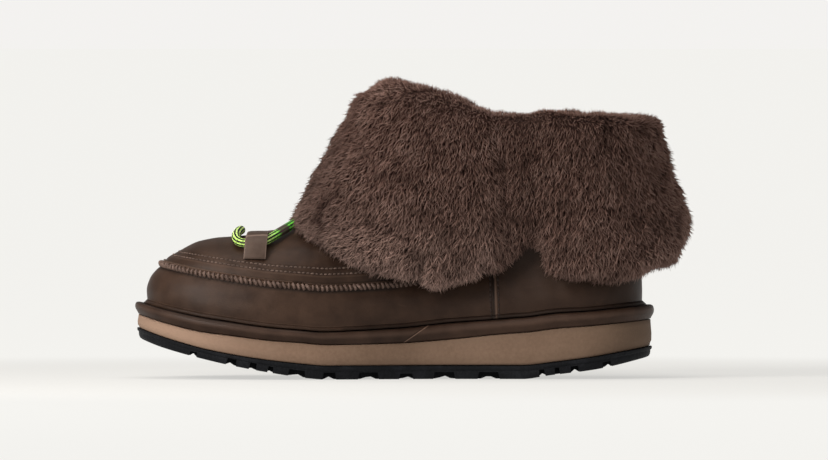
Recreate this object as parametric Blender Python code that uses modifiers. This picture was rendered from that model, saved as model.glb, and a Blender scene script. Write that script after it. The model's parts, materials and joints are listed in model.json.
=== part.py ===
"""A right mukluk boot: hollow moccasin upper on a wrapped platform, lugged sole and deep fur cuff.

The toe points to -X, the heel to +X, the inner side of the foot to -Y, and the tread stands on Z = 0.
"""

import math

import bmesh
import bpy
import numpy as np
from mathutils import Matrix, Vector

# Sizes of the last and of the sole, in metres
SOLE_LENGTH = 0.2666
BALL_WIDTH = 0.104
HEEL_WIDTH = 0.075
TOE_ROUND = 0.080
HEEL_ROUND = 0.037
TOE_SPRING = 0.0213
HEEL_SPRING = 0.0114
RUBBER_DEPTH = 0.0070
FOAM_DEPTH = 0.0174
WRAP_DEPTH = 0.0078
WRAP_PROUD = 0.0020
RUBBER_LIP = 0.0008
LUG_DEPTH = 0.0036
LUG_REACH = 0.013
INSOLE_DEPTH = 0.005

# Sizes of the upper
UPPER_INSET = 0.0052
LEATHER = 0.0024
WALL_HEIGHT = 0.022
TOE_LEAN = 0.0078
SIDE_LEAN = 0.0030
COLLAR_HEIGHT = 0.139
BACK_HEIGHT = 0.130
SHAFT_WIDTH = 0.084
COUNTER_TUCK = 0.0105
BEAD_PROUD = 0.0021
LAP_STEP = 0.0009

# Sizes of the fur cuff, the keeper strap and the lace
FUR_DEPTH = 0.024
FUR_RISE = 0.017
LINING_DEPTH = 0.006
LINING_DROP = 0.022
LOCK_LENGTH = 0.0185
LOCK_RADIUS = 0.0080
STRAP_WIDTH = 0.0115
STRAP_DEPTH = 0.0020
STRAP_SWEEP = 0.0045
LACE_DIAMETER = 0.0046

# Offset from the middle of the whole boot's width to the centre line of its heel
AXIS_OFFSET = -0.0030

# Clearance between pieces that meet
GAP = 0.0003

# Fullness of the rounded ends and of the crown, as superellipse powers
TOE_FULLNESS = 2.4
HEEL_FULLNESS = 2.2
CROWN_FULLNESS = 2.15

# Divisions of the meshes
SOLE_STATIONS = 24
FRONT_COLUMNS = 15
REAR_COLUMNS = 9
LOCK_SIDES = 5


def table(columns, *rows):
    """Rows of numbers as one array for each named column."""
    return dict(zip(columns.split(), np.array(rows, float).T))


# Plan of the sole: along as a share of its length, centre and ball of the ball width, heel of the heel width
OUTLINE = table(
    "along centre ball heel",
    (0.00, -0.060, 0.455, 0.00),
    (0.15, -0.040, 0.480, 0.00),
    (0.33, -0.004, 0.500, 0.00),
    (0.45, 0.026, 0.440, 0.02),
    (0.58, 0.042, 0.250, 0.175),
    (0.70, 0.020, 0.110, 0.345),
    (0.85, 0.000, 0.000, 0.500),
    (1.00, 0.000, 0.000, 0.485),
)

# Side of the sole: toe and heel as shares of the springs, the rest as shares of each layer's depth
LAYERS = table(
    "along toe heel rubber foam wrap",
    (0.000, 1.00, 0.00, 0.76, 0.40, 0.84),
    (0.050, 0.77, 0.00, 0.80, 0.43, 0.92),
    (0.120, 0.53, 0.00, 0.76, 0.48, 0.97),
    (0.190, 0.33, 0.00, 0.82, 0.56, 0.90),
    (0.260, 0.17, 0.00, 0.90, 0.59, 0.86),
    (0.330, 0.04, 0.00, 1.00, 0.63, 0.83),
    (0.370, 0.00, 0.00, 1.00, 0.63, 0.86),
    (0.510, 0.00, 0.00, 1.00, 0.67, 1.00),
    (0.610, 0.00, 0.00, 1.00, 0.78, 1.10),
    (0.700, 0.00, 0.00, 1.00, 0.92, 1.02),
    (0.750, 0.00, 0.00, 1.00, 0.98, 1.02),
    (0.800, 0.00, 0.16, 0.93, 1.00, 1.03),
    (0.890, 0.00, 0.43, 0.95, 0.93, 1.00),
    (1.000, 0.00, 1.00, 0.76, 0.80, 1.00),
)

# Side notches of the tread: along and wide as shares of the length, deep as a share of the lug depth
NOTCHES = table(
    "along wide deep",
    (0.110, 0.016, 0.7),
    (0.184, 0.021, 1.0),
    (0.226, 0.015, 1.0),
    (0.260, 0.011, 0.9),
    (0.311, 0.035, 1.0),
    (0.375, 0.027, 1.0),
    (0.451, 0.042, 1.0),
    (0.524, 0.028, 0.8),
    (0.598, 0.044, 1.0),
    (0.684, 0.044, 1.0),
    (0.789, 0.012, 1.0),
    (0.818, 0.010, 1.0),
    (0.852, 0.017, 0.9),
    (0.915, 0.018, 0.8),
)

# Lean of the side wall: up as a share of its height, lean as a share of the lean at the ridge
WALL = table("up lean", (0.0, 0.02), (0.3, -0.06), (0.6, 0.16), (0.85, 0.60), (1.0, 1.0))

# Rings of the side wall: up as a share of the wall, bead as a share of the raised seam
WALL_RINGS = table("up bead", (0.0, 0.0), (0.30, 0.0), (0.62, 0.0), (0.90, 0.0), (1.00, 1.0), (1.11, 0.9))

# Rings above the ridge: where each meets the front line, as shares of the length and of the collar height
FRONT_RINGS = table(
    "along up",
    (0.0605, 0.451),
    (0.0740, 0.466),
    (0.0975, 0.491),
    (0.1250, 0.514),
    (0.1640, 0.526),
    (0.2105, 0.532),
    (0.2570, 0.538),
    (0.2965, 0.554),
    (0.3316, 0.589),
    (0.3640, 0.640),
    (0.4050, 0.730),
    (0.4560, 0.858),
    (0.5050, 1.000),
)

# Back line: up as a share of the back height, tuck as a share of the counter's tuck above its bulge
BACK = table(
    "up tuck",
    (0.28, 0.02),
    (0.36, 0.00),
    (0.43, 0.06),
    (0.58, 0.52),
    (0.77, 0.92),
    (1.00, 1.00),
)

# Hem of the cuff in side view: shares of the length and of the collar height; the notch is the highest row
HEM = table(
    "along up",
    (0.300, 0.610),
    (0.309, 0.560),
    (0.325, 0.515),
    (0.360, 0.475),
    (0.414, 0.416),
    (0.468, 0.385),
    (0.548, 0.352),
    (0.576, 0.318),
    (0.605, 0.335),
    (0.655, 0.362),
    (0.700, 0.410),
    (0.750, 0.470),
    (0.774, 0.492),
    (0.790, 0.470),
    (0.800, 0.400),
    (0.830, 0.360),
    (0.915, 0.352),
    (0.955, 0.378),
    (0.980, 0.432),
    (1.000, 0.445),
)

# Depth of the fur by column from front to back, as shares of the fur depth, at the hem and at the collar,
# and the length of its locks as a share of theirs
FUR = table(
    "round low high lock",
    (0.00, 0.46, 0.98, 0.45),
    (0.20, 0.60, 0.90, 0.70),
    (0.45, 0.84, 0.78, 1.00),
    (0.62, 0.78, 0.72, 1.00),
    (0.70, 0.58, 0.62, 0.70),
    (0.78, 0.80, 0.74, 1.00),
    (1.00, 1.24, 1.18, 0.55),
)

# Section of the cuff: climb from hem to collar, out as a share of the fur's depth there
OUTER = table(
    "climb out",
    (-0.02, 0.45),
    (0.00, 0.80),
    (0.14, 1.00),
    (0.42, 1.04),
    (0.72, 0.98),
    (0.94, 0.82),
)

# Rim of the cuff above the collar: rise as a share of the fur's rise, out of the fur's depth
RIM = table("rise out", (0.50, 0.64), (0.94, 0.26), (0.86, -0.12), (0.30, -0.36))

# Height of the rim by column from front to back, as a share of the fur's rise
CREST = table("round rise", (0.0, 1.0), (0.35, 0.90), (0.55, 0.46), (0.66, 0.30), (0.80, 0.44), (1.0, 0.56))

# Rows of locks: climb of the root from hem to collar, tip as its fall, out as how far the tip stands off
LOCK_ROWS = table(
    "climb fall out every start",
    (0.00, 0.15, 0.84, 2, 0),
    (0.34, 0.20, 1.05, 4, 2),
    (0.68, 0.20, 1.03, 4, 0),
)

# Strap section from crown to foot: stand as a share of the lace's diameter
STRAP = table("round stand", (0.0, 0.0), (0.24, 0.0), (0.38, 0.8), (0.50, 1.0), (0.80, 1.0), (1.0, 0.0))

# Route of the lace on one side, from under the fur to the crown: along as a share of the length, round from
# the crown at 0 to the strap's foot at 1, stand as a share of the lace's diameter
LACE = table(
    "along round stand",
    (0.334, 0.22, 0.10),
    (0.306, 0.28, 0.10),
    (0.281, 0.42, 0.05),
    (0.262, 0.54, 0.00),
    (0.246, 0.64, 0.00),
    (0.226, 0.67, 0.00),
    (0.208, 0.66, 0.00),
    (0.197, 0.59, 0.05),
    (0.194, 0.44, 0.10),
    (0.198, 0.24, 0.05),
)
LACE_CROWN = 0.2025

# Places along the length, as shares of it
SEAM_ALONG = 0.698
SEAM_RAKE = -0.035
RIDGE_END = 0.48
RIDGE_FADE = 0.06
STRAP_ALONG = 0.230
STRAP_FOOT = 0.443
FUR_BACK_REACH = 1.28

CUFF_OVERHANG = FUR_BACK_REACH * FUR_DEPTH - UPPER_INSET - COUNTER_TUCK / 2
HEEL_X = (SOLE_LENGTH + WRAP_PROUD - CUFF_OVERHANG) / 2
TOE_X = HEEL_X - SOLE_LENGTH


def flow(at, known, values):
    """A smooth curve through hand-set points, continued at its end slopes."""
    at = np.asarray(at, float)
    width = np.diff(known)
    rise = np.diff(values) / width
    slope = np.empty(len(known))
    slope[0] = rise[0]
    slope[-1] = rise[-1]
    before, after = rise[:-1], rise[1:]
    same = before * after > 0
    total = np.where(same, before + after, 1.0)
    slope[1:-1] = np.where(same, 2 * before * after / total, 0.0)
    index = np.clip(np.searchsorted(known, at) - 1, 0, len(width) - 1)
    share = np.clip((at - known[index]) / width[index], 0, 1)
    start, end = values[index], values[index + 1]
    bend = share * (1 - share) * width[index]
    curve = start + (end - start) * share * share * (3 - 2 * share)
    curve = curve + bend * ((1 - share) * slope[index] - share * slope[index + 1])
    below = np.minimum(at - known[0], 0) * slope[0]
    above = np.maximum(at - known[-1], 0) * slope[-1]
    return curve + below + above


def smooth(share):
    share = np.clip(share, 0, 1)
    return share * share * (3 - 2 * share)


def mix(start, end, share):
    return start + (end - start) * share


def quarter(share, power):
    """Half width of a superellipse's end, from 0 at its tip to 1."""
    return (1 - (1 - np.clip(share, 0, 1)) ** power) ** (1 / power)


def along(x):
    return (x - TOE_X) / SOLE_LENGTH


def layer(x, column):
    return flow(along(x), LAYERS["along"], LAYERS[column])


def tread_height(x):
    return TOE_SPRING * layer(x, "toe") + HEEL_SPRING * layer(x, "heel")


def rubber_top(x):
    return tread_height(x) + RUBBER_DEPTH * layer(x, "rubber")


def foam_top(x):
    return rubber_top(x) + FOAM_DEPTH * layer(x, "foam")


def feather(x):
    """Height of the line where the upper meets the wrapped platform."""
    return foam_top(x) + WRAP_DEPTH * layer(x, "wrap")


def plan(x):
    """Centre line and half width of the sole before its ends are rounded."""
    share = np.clip(along(x), 0, 1)
    centre = flow(share, OUTLINE["along"], OUTLINE["centre"]) * BALL_WIDTH
    ball = flow(share, OUTLINE["along"], OUTLINE["ball"]) * BALL_WIDTH
    heel = flow(share, OUTLINE["along"], OUTLINE["heel"]) * HEEL_WIDTH
    return centre, ball + heel


def outline(grow):
    """Stations (x, inner y, outer y) of the sole's plan, pushed out by grow."""
    turn = np.linspace(0, math.pi, SOLE_STATIONS)
    start, end = TOE_X - grow, HEEL_X + grow
    x = mix(start, end, (1 - np.cos(turn)) / 2)
    centre, half = plan(x)
    half = (half + grow) * quarter((x - start) / TOE_ROUND, TOE_FULLNESS)
    half = half * quarter((end - x) / HEEL_ROUND, HEEL_FULLNESS)
    centre = centre + AXIS_OFFSET
    return x, centre - half, centre + half


def back_line(z):
    return HEEL_X - UPPER_INSET - COUNTER_TUCK * flow(z / BACK_HEIGHT, BACK["up"], BACK["tuck"])


def wall_lean(height):
    return flow(np.clip(height / WALL_HEIGHT, 0, 1), WALL["up"], WALL["lean"])


def ridge_front():
    return TOE_X + UPPER_INSET + TOE_LEAN


def crest_line(x):
    """Height of the upper's front line, from the ridge over the vamp and up the instep."""
    start = ridge_front()
    known = np.append(start, TOE_X + FRONT_RINGS["along"] * SOLE_LENGTH)
    heights = np.append(feather(start) + WALL_HEIGHT, FRONT_RINGS["up"] * COLLAR_HEIGHT)
    return flow(x, known, heights)


def last_section(x, z):
    """Centre and half width of the upper's outer face at a point of its side view."""
    height = z - feather(x)
    lean = wall_lean(height)
    centre, half = plan(x)
    climb = smooth((height - WALL_HEIGHT) / (BACK_HEIGHT - 2 * WALL_HEIGHT))
    half = mix(half - UPPER_INSET - lean * SIDE_LEAN, SHAFT_WIDTH / 2, climb)
    centre = AXIS_OFFSET + centre * (1 - smooth((height - WALL_HEIGHT) / (2 * WALL_HEIGHT)))
    front = TOE_X + UPPER_INSET + lean * TOE_LEAN
    room = np.maximum(crest_line(x) - feather(x) - WALL_HEIGHT, 1e-6)
    crown = 1 - quarter_climb((height - WALL_HEIGHT) / room)
    half = half * quarter((x - front) / TOE_ROUND, TOE_FULLNESS) * crown
    return centre, half * quarter((back_line(z) - x) / HEEL_ROUND, HEEL_FULLNESS)


def quarter_climb(share):
    """How much of the half width is gone at a share of the crown's height."""
    share = np.clip(share, 0, 1)
    return 1 - (1 - share**CROWN_FULLNESS) ** (1 / CROWN_FULLNESS)


def ring_rows():
    """Front x, front height and back height above the feather line of every ring, with its bead."""
    rows = []
    for up, bead in zip(WALL_RINGS["up"], WALL_RINGS["bead"]):
        height = up * WALL_HEIGHT
        front = TOE_X + UPPER_INSET + wall_lean(height) * TOE_LEAN
        if up > 1:
            front = front + (up - 1) * TOE_LEAN / 2
            height = crest_line(front) - feather(front)
        rows.append((front, height, up * WALL_HEIGHT, bead))
    top = BACK_HEIGHT - feather(back_line(BACK_HEIGHT))
    count = len(FRONT_RINGS["along"])
    for place, (share, up) in enumerate(zip(FRONT_RINGS["along"], FRONT_RINGS["up"]), 1):
        front = TOE_X + share * SOLE_LENGTH
        back = mix(WALL_RINGS["up"][-1] * WALL_HEIGHT, top, place / count)
        rows.append((front, up * COLLAR_HEIGHT - feather(front), back, 0.0))
    return rows


def even(points, count):
    """Count + 1 points spread evenly along a polyline."""
    steps = np.linalg.norm(np.diff(points, axis=0), axis=1)
    run = np.append(0, np.cumsum(steps))
    wanted = np.linspace(0, run[-1], count + 1)
    return np.stack([np.interp(wanted, run, points[:, axis]) for axis in range(3)], axis=1)


def ring_side(front, front_height, back_height, side):
    """One side of a ring from the front line to the back line, split at the lapped seam."""
    back = HEEL_X - UPPER_INSET
    for _ in range(4):
        back = back_line(feather(back) + back_height)
    share = (1 - np.cos(np.linspace(0, math.pi, 240))) / 2
    x = mix(front, back, share)
    z = feather(x) + mix(front_height, back_height, share)
    centre, half = last_section(x, z)
    half[0] = half[-1] = 0
    points = np.stack([x, centre + side * half, z], axis=1)
    past = x - seam_x(z)
    cut = int(np.argmax(past >= 0))
    share = past[cut - 1] / (past[cut - 1] - past[cut])
    seam = mix(points[cut - 1], points[cut], share)[None]
    ahead = even(np.concatenate([points[:cut], seam]), FRONT_COLUMNS)
    behind = even(np.concatenate([seam, points[cut:]]), REAR_COLUMNS)
    return ahead, behind


def seam_x(z):
    return TOE_X + SEAM_ALONG * SOLE_LENGTH + SEAM_RAKE * (z - feather(0.0))


def ring(row):
    """A closed ring from the front, along the outer side to the back, and home along the inner side."""
    sides = []
    for side in (1, -1):
        ahead, behind = ring_side(*row[:3], side)
        behind[0] = mix(behind[0], behind[1], LAP_STEP / 2 / np.linalg.norm(behind[1] - behind[0]))
        sides.append(np.concatenate([ahead, behind]))
    outer, inner = sides
    return np.concatenate([outer, inner[-2:0:-1]])


def last_grid(grow, detail):
    """Rings of the upper's outer face, pushed out by grow, with its bead and lapped seam."""
    rows = ring_rows()
    points = np.array([ring(row) for row in rows])
    up = np.gradient(points, axis=0)
    around = np.roll(points, -1, axis=1) - np.roll(points, 1, axis=1)
    normals = np.cross(up, around)
    normals = normals / np.linalg.norm(normals, axis=2, keepdims=True)
    out = np.full(points.shape[:2], grow)
    if detail:
        fade = 1 - smooth((along(points[:, :, 0]) - RIDGE_END) / RIDGE_FADE)
        out = out + BEAD_PROUD * fade * np.array([row[3] for row in rows])[:, None]
        side = FRONT_COLUMNS + 1
        count = points.shape[1]
        out[:, side : count - side + 1] += LAP_STEP
    return points, normals, points + normals * out[:, :, None]


def finish(mesh, name, collection, colour, roughness):
    """An object of the boot with its own plain material."""
    material = bpy.data.materials.new(name)
    material.use_nodes = True
    shader = material.node_tree.nodes["Principled BSDF"]
    shader.inputs["Base Color"].default_value = (*colour, 1)
    shader.inputs["Roughness"].default_value = roughness
    shader.inputs["Metallic"].default_value = 0
    material.diffuse_color = (*colour, 1)
    mesh.materials.append(material)
    mesh.shade_smooth()
    mesh.set_sharp_from_angle(angle=math.radians(40))
    obj = bpy.data.objects.new(name, mesh)
    collection.objects.link(obj)
    return obj


def grid_mesh(name, grid, closed_up):
    """A mesh of triangles over closed rings; closed_up joins the last ring to the first."""
    rows, columns = grid.shape[:2]
    faces = []
    for row in range(rows if closed_up else rows - 1):
        above = (row + 1) % rows
        for column in range(columns):
            beside = (column + 1) % columns
            corner = row * columns + column
            across = above * columns + beside
            faces.append((corner, above * columns + column, across))
            faces.append((corner, across, row * columns + beside))
    mesh = bpy.data.meshes.new(name)
    mesh.from_pydata(grid.reshape(-1, 3).tolist(), [], faces)
    return mesh


def slab_mesh(name, rings):
    """A closed slab over the sole's plan: rings from the bottom edge to the top one, each (grow, height)."""
    mesh = bmesh.new()
    loops = []
    for grow, height in rings:
        x, inner, outer = outline(grow)
        z = height(x)
        right = [mesh.verts.new(place) for place in zip(x, outer, z)]
        left = [mesh.verts.new(place) for place in zip(x[1:-1], inner[1:-1], z[1:-1])]
        loops.append((right, left))
    for (low_right, low_left), (high_right, high_left) in zip(loops, loops[1:]):
        low = low_right + low_left[::-1]
        high = high_right + high_left[::-1]
        for place in range(len(low)):
            after = (place + 1) % len(low)
            mesh.faces.new((low[place], high[place], high[after], low[after]))
    for (right, left), top in ((loops[0], False), (loops[-1], True)):
        across = [(right[0], right[0])] + list(zip(right[1:-1], left)) + [(right[-1], right[-1])]
        for (a, b), (c, d) in zip(across, across[1:]):
            face = list(dict.fromkeys((a, c, d, b) if top else (a, b, d, c)))
            mesh.faces.new(face[::-1])
    bmesh.ops.recalc_face_normals(mesh, faces=mesh.faces)
    made = bpy.data.meshes.new(name)
    mesh.to_mesh(made)
    mesh.free()
    return made


def lifted(height, by):
    return lambda x: height(x) + by


def blend(low, high, share):
    return lambda x: mix(low(x), high(x), share)


def boolean(obj, cutter, operation, solver="EXACT"):
    modifier = obj.modifiers.new(cutter.name, "BOOLEAN")
    modifier.operation = operation
    modifier.object = cutter
    modifier.solver = solver


def helper(mesh, name, cutters):
    """A cutter or a form to be joined, which isn't a piece of the boot."""
    obj = bpy.data.objects.new(name, mesh)
    obj.hide_render = True
    obj.display_type = "WIRE"
    cutters.objects.link(obj)
    return obj


def tube_mesh(name, points, radius, cutters):
    """A round cord through the points, as a closed mesh."""
    curve = bpy.data.curves.new(name, "CURVE")
    curve.dimensions = "3D"
    curve.bevel_depth = radius
    curve.bevel_resolution = 2
    curve.use_fill_caps = True
    spline = curve.splines.new("POLY")
    spline.points.add(len(points) - 1)
    for knot, place in zip(spline.points, points):
        knot.co = (*place, 1)
    guide = bpy.data.objects.new(name, curve)
    cutters.objects.link(guide)
    bpy.context.view_layer.update()
    graph = bpy.context.evaluated_depsgraph_get()
    mesh = bpy.data.meshes.new_from_object(guide.evaluated_get(graph))
    bpy.data.objects.remove(guide)
    welded = bmesh.new()
    welded.from_mesh(mesh)
    bmesh.ops.remove_doubles(welded, verts=welded.verts, dist=0.00002)
    bmesh.ops.recalc_face_normals(welded, faces=welded.faces)
    welded.to_mesh(mesh)
    welded.free()
    return mesh


def outsole(parts, cutters):
    """Lugged rubber with a rocker toe, a thin lip round its top and notches along both edges."""
    rings = [
        (-0.0016, tread_height),
        (-0.0002, lifted(tread_height, 0.0012)),
        (0.0, blend(tread_height, rubber_top, 0.62)),
        (RUBBER_LIP, blend(tread_height, rubber_top, 0.70)),
        (RUBBER_LIP, lifted(rubber_top, -GAP / 2)),
    ]
    obj = finish(slab_mesh("outsole", rings), "outsole", parts, (0.018, 0.019, 0.022), 0.75)
    notches = bmesh.new()
    for share, wide, deep in zip(NOTCHES["along"], NOTCHES["wide"], NOTCHES["deep"]):
        x = TOE_X + share * SOLE_LENGTH
        width = wide * SOLE_LENGTH
        ends = (x - width / 2, x + width / 2)
        slope = math.atan2(tread_height(ends[1]) - tread_height(ends[0]), width)
        centre, half = plan(x)
        half = half * quarter((x - TOE_X) / TOE_ROUND, TOE_FULLNESS)
        half = half * quarter((HEEL_X - x) / HEEL_ROUND, HEEL_FULLNESS)
        size = Vector((width, 2 * LUG_REACH, 2 * deep * LUG_DEPTH))
        for side in (-1, 1):
            place = Vector((x, AXIS_OFFSET + centre + side * half, float(tread_height(x))))
            turn = Matrix.Rotation(-slope, 4, "Y")
            bmesh.ops.create_cube(
                notches, matrix=Matrix.Translation(place) @ turn @ Matrix.Diagonal((*size, 1))
            )
    mesh = bpy.data.meshes.new("lug_notches")
    notches.to_mesh(mesh)
    notches.free()
    boolean(obj, helper(mesh, "lug_notches", cutters), "DIFFERENCE")


def midsole(parts):
    rings = [
        (-0.0004, lifted(rubber_top, GAP / 2)),
        (0.0004, blend(rubber_top, foam_top, 0.30)),
        (0.0, blend(rubber_top, foam_top, 0.75)),
        (-0.0008, lifted(foam_top, -GAP / 2)),
    ]
    finish(slab_mesh("midsole", rings), "midsole", parts, (0.21, 0.145, 0.105), 0.85)


def platform_wrap(parts):
    """Leather rolled over the platform: a bead round its edge and a flat bed for upper and insole."""
    bed = lifted(feather, -GAP)
    rings = [
        (-0.0010, lifted(foam_top, GAP / 2)),
        (0.6 * WRAP_PROUD, blend(foam_top, feather, 0.16)),
        (WRAP_PROUD, blend(foam_top, feather, 0.42)),
        (0.85 * WRAP_PROUD, blend(foam_top, feather, 0.72)),
        (0.0, blend(foam_top, feather, 0.93)),
        (-0.0022, bed),
    ]
    finish(slab_mesh("platform_wrap", rings), "platform_wrap", parts, (0.055, 0.034, 0.025), 0.5)


def insole(parts):
    inset = -(UPPER_INSET + LEATHER + 3 * GAP)
    rings = [
        (inset, lifted(feather, GAP / 2)),
        (inset, lifted(feather, 0.7 * INSOLE_DEPTH)),
        (inset - 0.0015, lifted(feather, INSOLE_DEPTH)),
    ]
    finish(slab_mesh("insole", rings), "insole", parts, (0.10, 0.068, 0.052), 0.95)


def upper(parts):
    """One hollow leather shell, open at the collar and along the foot."""
    _, _, grid = last_grid(0.0, True)
    grid[0, :, 2] += GAP
    obj = finish(grid_mesh("upper", grid, False), "upper", parts, (0.055, 0.034, 0.025), 0.45)
    shell = obj.modifiers.new("Leather", "SOLIDIFY")
    shell.thickness = LEATHER
    shell.offset = -1
    return obj


def leather_room(cutters):
    """The upper's wall with the clearance on both faces and above the collar."""
    room = 1.5 * GAP
    _, _, grid = last_grid(room, True)
    rise = grid[-1] - grid[-2]
    grid[-1] += rise / np.linalg.norm(rise, axis=1, keepdims=True) * room
    obj = helper(grid_mesh("leather_room", grid, False), "leather_room", cutters)
    shell = obj.modifiers.new("Room", "SOLIDIFY")
    shell.thickness = LEATHER + 2 * room
    shell.offset = -1
    return obj


class Skin:
    """The upper's outer face by level, from the feather line up, and by column, from the front round."""

    def __init__(self):
        self.points, self.normals, _ = last_grid(0.0, False)
        self.levels = np.arange(len(self.points))
        self.columns = self.points.shape[1]

    def line(self, column):
        return self.points[:, column % self.columns]

    def at(self, column, level, out):
        """A point that stands out from the face, also past the collar, where the last step is repeated."""
        low = int(min(max(level, 0), len(self.levels) - 2))
        share = level - low
        line = self.line(column)
        turn = self.normals[:, column % self.columns]
        normal = mix(turn[low], turn[low + 1], min(share, 1))
        normal = normal / np.linalg.norm(normal)
        return mix(line[low], line[low + 1], share) + normal * out

    def round(self, column):
        """0 at the front line, 1 at the back line."""
        half = self.columns / 2
        return 1 - abs((column % self.columns) - half) / half

    def hem(self, column):
        """Level where the cuff's hem crosses a column."""
        fine = np.linspace(0, self.levels[-1], 400)
        line = self.line(column)
        x = np.interp(fine, self.levels, line[:, 0])
        z = np.interp(fine, self.levels, line[:, 2])
        over = z > flow(along(x), HEM["along"], HEM["up"]) * COLLAR_HEIGHT
        return fine[int(np.argmax(over))]

    def lining(self, column):
        """Level where the lining inside the collar ends."""
        line = self.line(column)
        return float(np.interp(line[-1, 2] - LINING_DROP, line[:, 2], self.levels))


def fur_out(skin, column, climb, out):
    share = skin.round(column)
    low = flow(share, FUR["round"], FUR["low"])
    high = flow(share, FUR["round"], FUR["high"])
    return out * FUR_DEPTH * mix(low, high, min(max(climb, 0), 1))


def cuff_section(skin, column):
    """One closed section of the cuff: up its outside, over the rim and down the lining."""
    hem, collar = skin.hem(column), float(skin.levels[-1])
    points = []
    for climb, out in zip(OUTER["climb"], OUTER["out"]):
        level = mix(hem, collar, climb)
        points.append(skin.at(column, level, fur_out(skin, column, climb, out)))
    rise = FUR_RISE * flow(skin.round(column), CREST["round"], CREST["rise"])
    for up, out in zip(RIM["rise"], RIM["out"]):
        point = skin.at(column, collar, fur_out(skin, column, 1, out))
        point[2] = skin.line(column)[-1, 2] + up * rise
        points.append(point)
    end = skin.lining(column)
    for level in (mix(end, collar, 0.55), end):
        points.append(skin.at(column, level, -(LEATHER + LINING_DEPTH)))
    for level in np.linspace(end, hem, 6):
        points.append(skin.at(column, level, -LEATHER / 2))
    return points


def lock(mesh, root, tip, out, radius):
    """A tapered lock of wool from its root to its tip, flattened against the fur."""
    run = Vector(tip - root)
    depth = run.length
    axis = run.normalized()
    flat = Vector(out) - axis * Vector(out).dot(axis)
    flat.normalize()
    side = flat.cross(axis)
    turn = Matrix((side, flat, axis)).transposed().to_4x4()
    place = Matrix.Translation(Vector(root) + run / 2) @ turn @ Matrix.Diagonal((1.0, 0.7, 1.0, 1.0))
    bmesh.ops.create_cone(
        mesh,
        cap_ends=True,
        segments=LOCK_SIDES,
        radius1=radius,
        radius2=0,
        depth=depth,
        matrix=place,
    )


def fur_locks(skin, cutters):
    """Rows of locks over the cuff, the lowest one hanging past the hem."""
    mesh = bmesh.new()
    for climb, fall, out, every, start in zip(*LOCK_ROWS.values()):
        for column in range(int(start), skin.columns, int(every)):
            hem, collar = skin.hem(column), float(skin.levels[-1])
            root_level = mix(hem, collar, climb + fall)
            root = skin.at(column, root_level, fur_out(skin, column, climb, 0.78))
            edge = skin.at(column, mix(hem, collar, climb), fur_out(skin, column, climb, out))
            run = edge - root
            length = LOCK_LENGTH * float(flow(skin.round(column), FUR["round"], FUR["lock"]))
            tip = root + run / np.linalg.norm(run) * length
            lock(mesh, root, tip, skin.normals[int(root_level), column], LOCK_RADIUS)
    made = bpy.data.meshes.new("fur_locks")
    mesh.to_mesh(made)
    mesh.free()
    return helper(made, "fur_locks", cutters)


def keep_largest(obj):
    """Turns an object and its modifiers into one mesh without the crumbs that its cuts leave."""
    bpy.context.view_layer.update()
    graph = bpy.context.evaluated_depsgraph_get()
    made = bpy.data.meshes.new_from_object(obj.evaluated_get(graph))
    mesh = bmesh.new()
    mesh.from_mesh(made)
    bodies = []
    left = set(mesh.verts)
    while left:
        body = {left.pop()}
        edge = list(body)
        while edge:
            for link in edge.pop().link_edges:
                for vert in link.verts:
                    if vert in left:
                        left.remove(vert)
                        body.add(vert)
                        edge.append(vert)
        bodies.append(body)
    bodies.sort(key=len)
    for body in bodies[:-1]:
        bmesh.ops.delete(mesh, geom=list(body), context="VERTS")
    mesh.to_mesh(made)
    mesh.free()
    obj.modifiers.clear()
    obj.data = made


def fur_cuff(parts, cutters, lace_points):
    """Fold-down fur in two lobes over the collar, with a notch on each side and locks fused on."""
    skin = Skin()
    sections = [cuff_section(skin, column) for column in range(skin.columns)]
    grid = np.array(sections).transpose(1, 0, 2)
    obj = finish(grid_mesh("fur_cuff", grid, True), "fur_cuff", parts, (0.075, 0.048, 0.038), 0.95)
    boolean(obj, fur_locks(skin, cutters), "UNION")
    boolean(obj, leather_room(cutters), "DIFFERENCE")
    first = lace_points[0] + (lace_points[0] - lace_points[1]) * 0.2
    last = lace_points[-1] + (lace_points[-1] - lace_points[-2]) * 0.2
    longer = np.concatenate([[first], lace_points[1:-1], [last]])
    room = tube_mesh("lace_room", longer, LACE_DIAMETER / 2 + GAP, cutters)
    boolean(obj, helper(room, "lace_room", cutters), "DIFFERENCE", "MANIFOLD")
    keep_largest(obj)


def vamp_point(x, share, side):
    """A point of the upper's cross-section at x, from its crown at 0 to the strap's foot at 1."""
    top = float(crest_line(x))
    z = mix(STRAP_FOOT * COLLAR_HEIGHT, top, math.cos(share * math.pi / 2))
    centre, half = last_section(np.array([x]), np.array([z]))
    return np.array([x, centre[0] + side * half[0] * (share > 0), z])


def vamp_normal(x, share, side):
    step = 1e-3
    forward = vamp_point(x - step, share, side) - vamp_point(x + step, share, side)
    down = vamp_point(x, share + step, side) - vamp_point(x, max(share - step, 0), side)
    normal = np.cross(down, forward) * side
    return normal / np.linalg.norm(normal)


def strap_grid():
    """Lines along the strap's front edge, middle and rear edge, from foot to foot over the crown."""
    shares = np.linspace(-1, 1, 23)
    lines = []
    for offset in (-0.5, 0.0, 0.5):
        line = []
        for share in shares:
            side = math.copysign(1, share)
            sweep = STRAP_SWEEP * (1 - abs(share))
            x = TOE_X + STRAP_ALONG * SOLE_LENGTH + offset * STRAP_WIDTH + sweep
            stand = float(flow(abs(share), STRAP["round"], STRAP["stand"])) * (LACE_DIAMETER + 2 * GAP)
            out = vamp_normal(x, abs(share), side) * (stand + 1.5 * GAP)
            line.append(vamp_point(x, abs(share), side) + out)
        lines.append(line)
    return np.array(lines)


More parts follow.
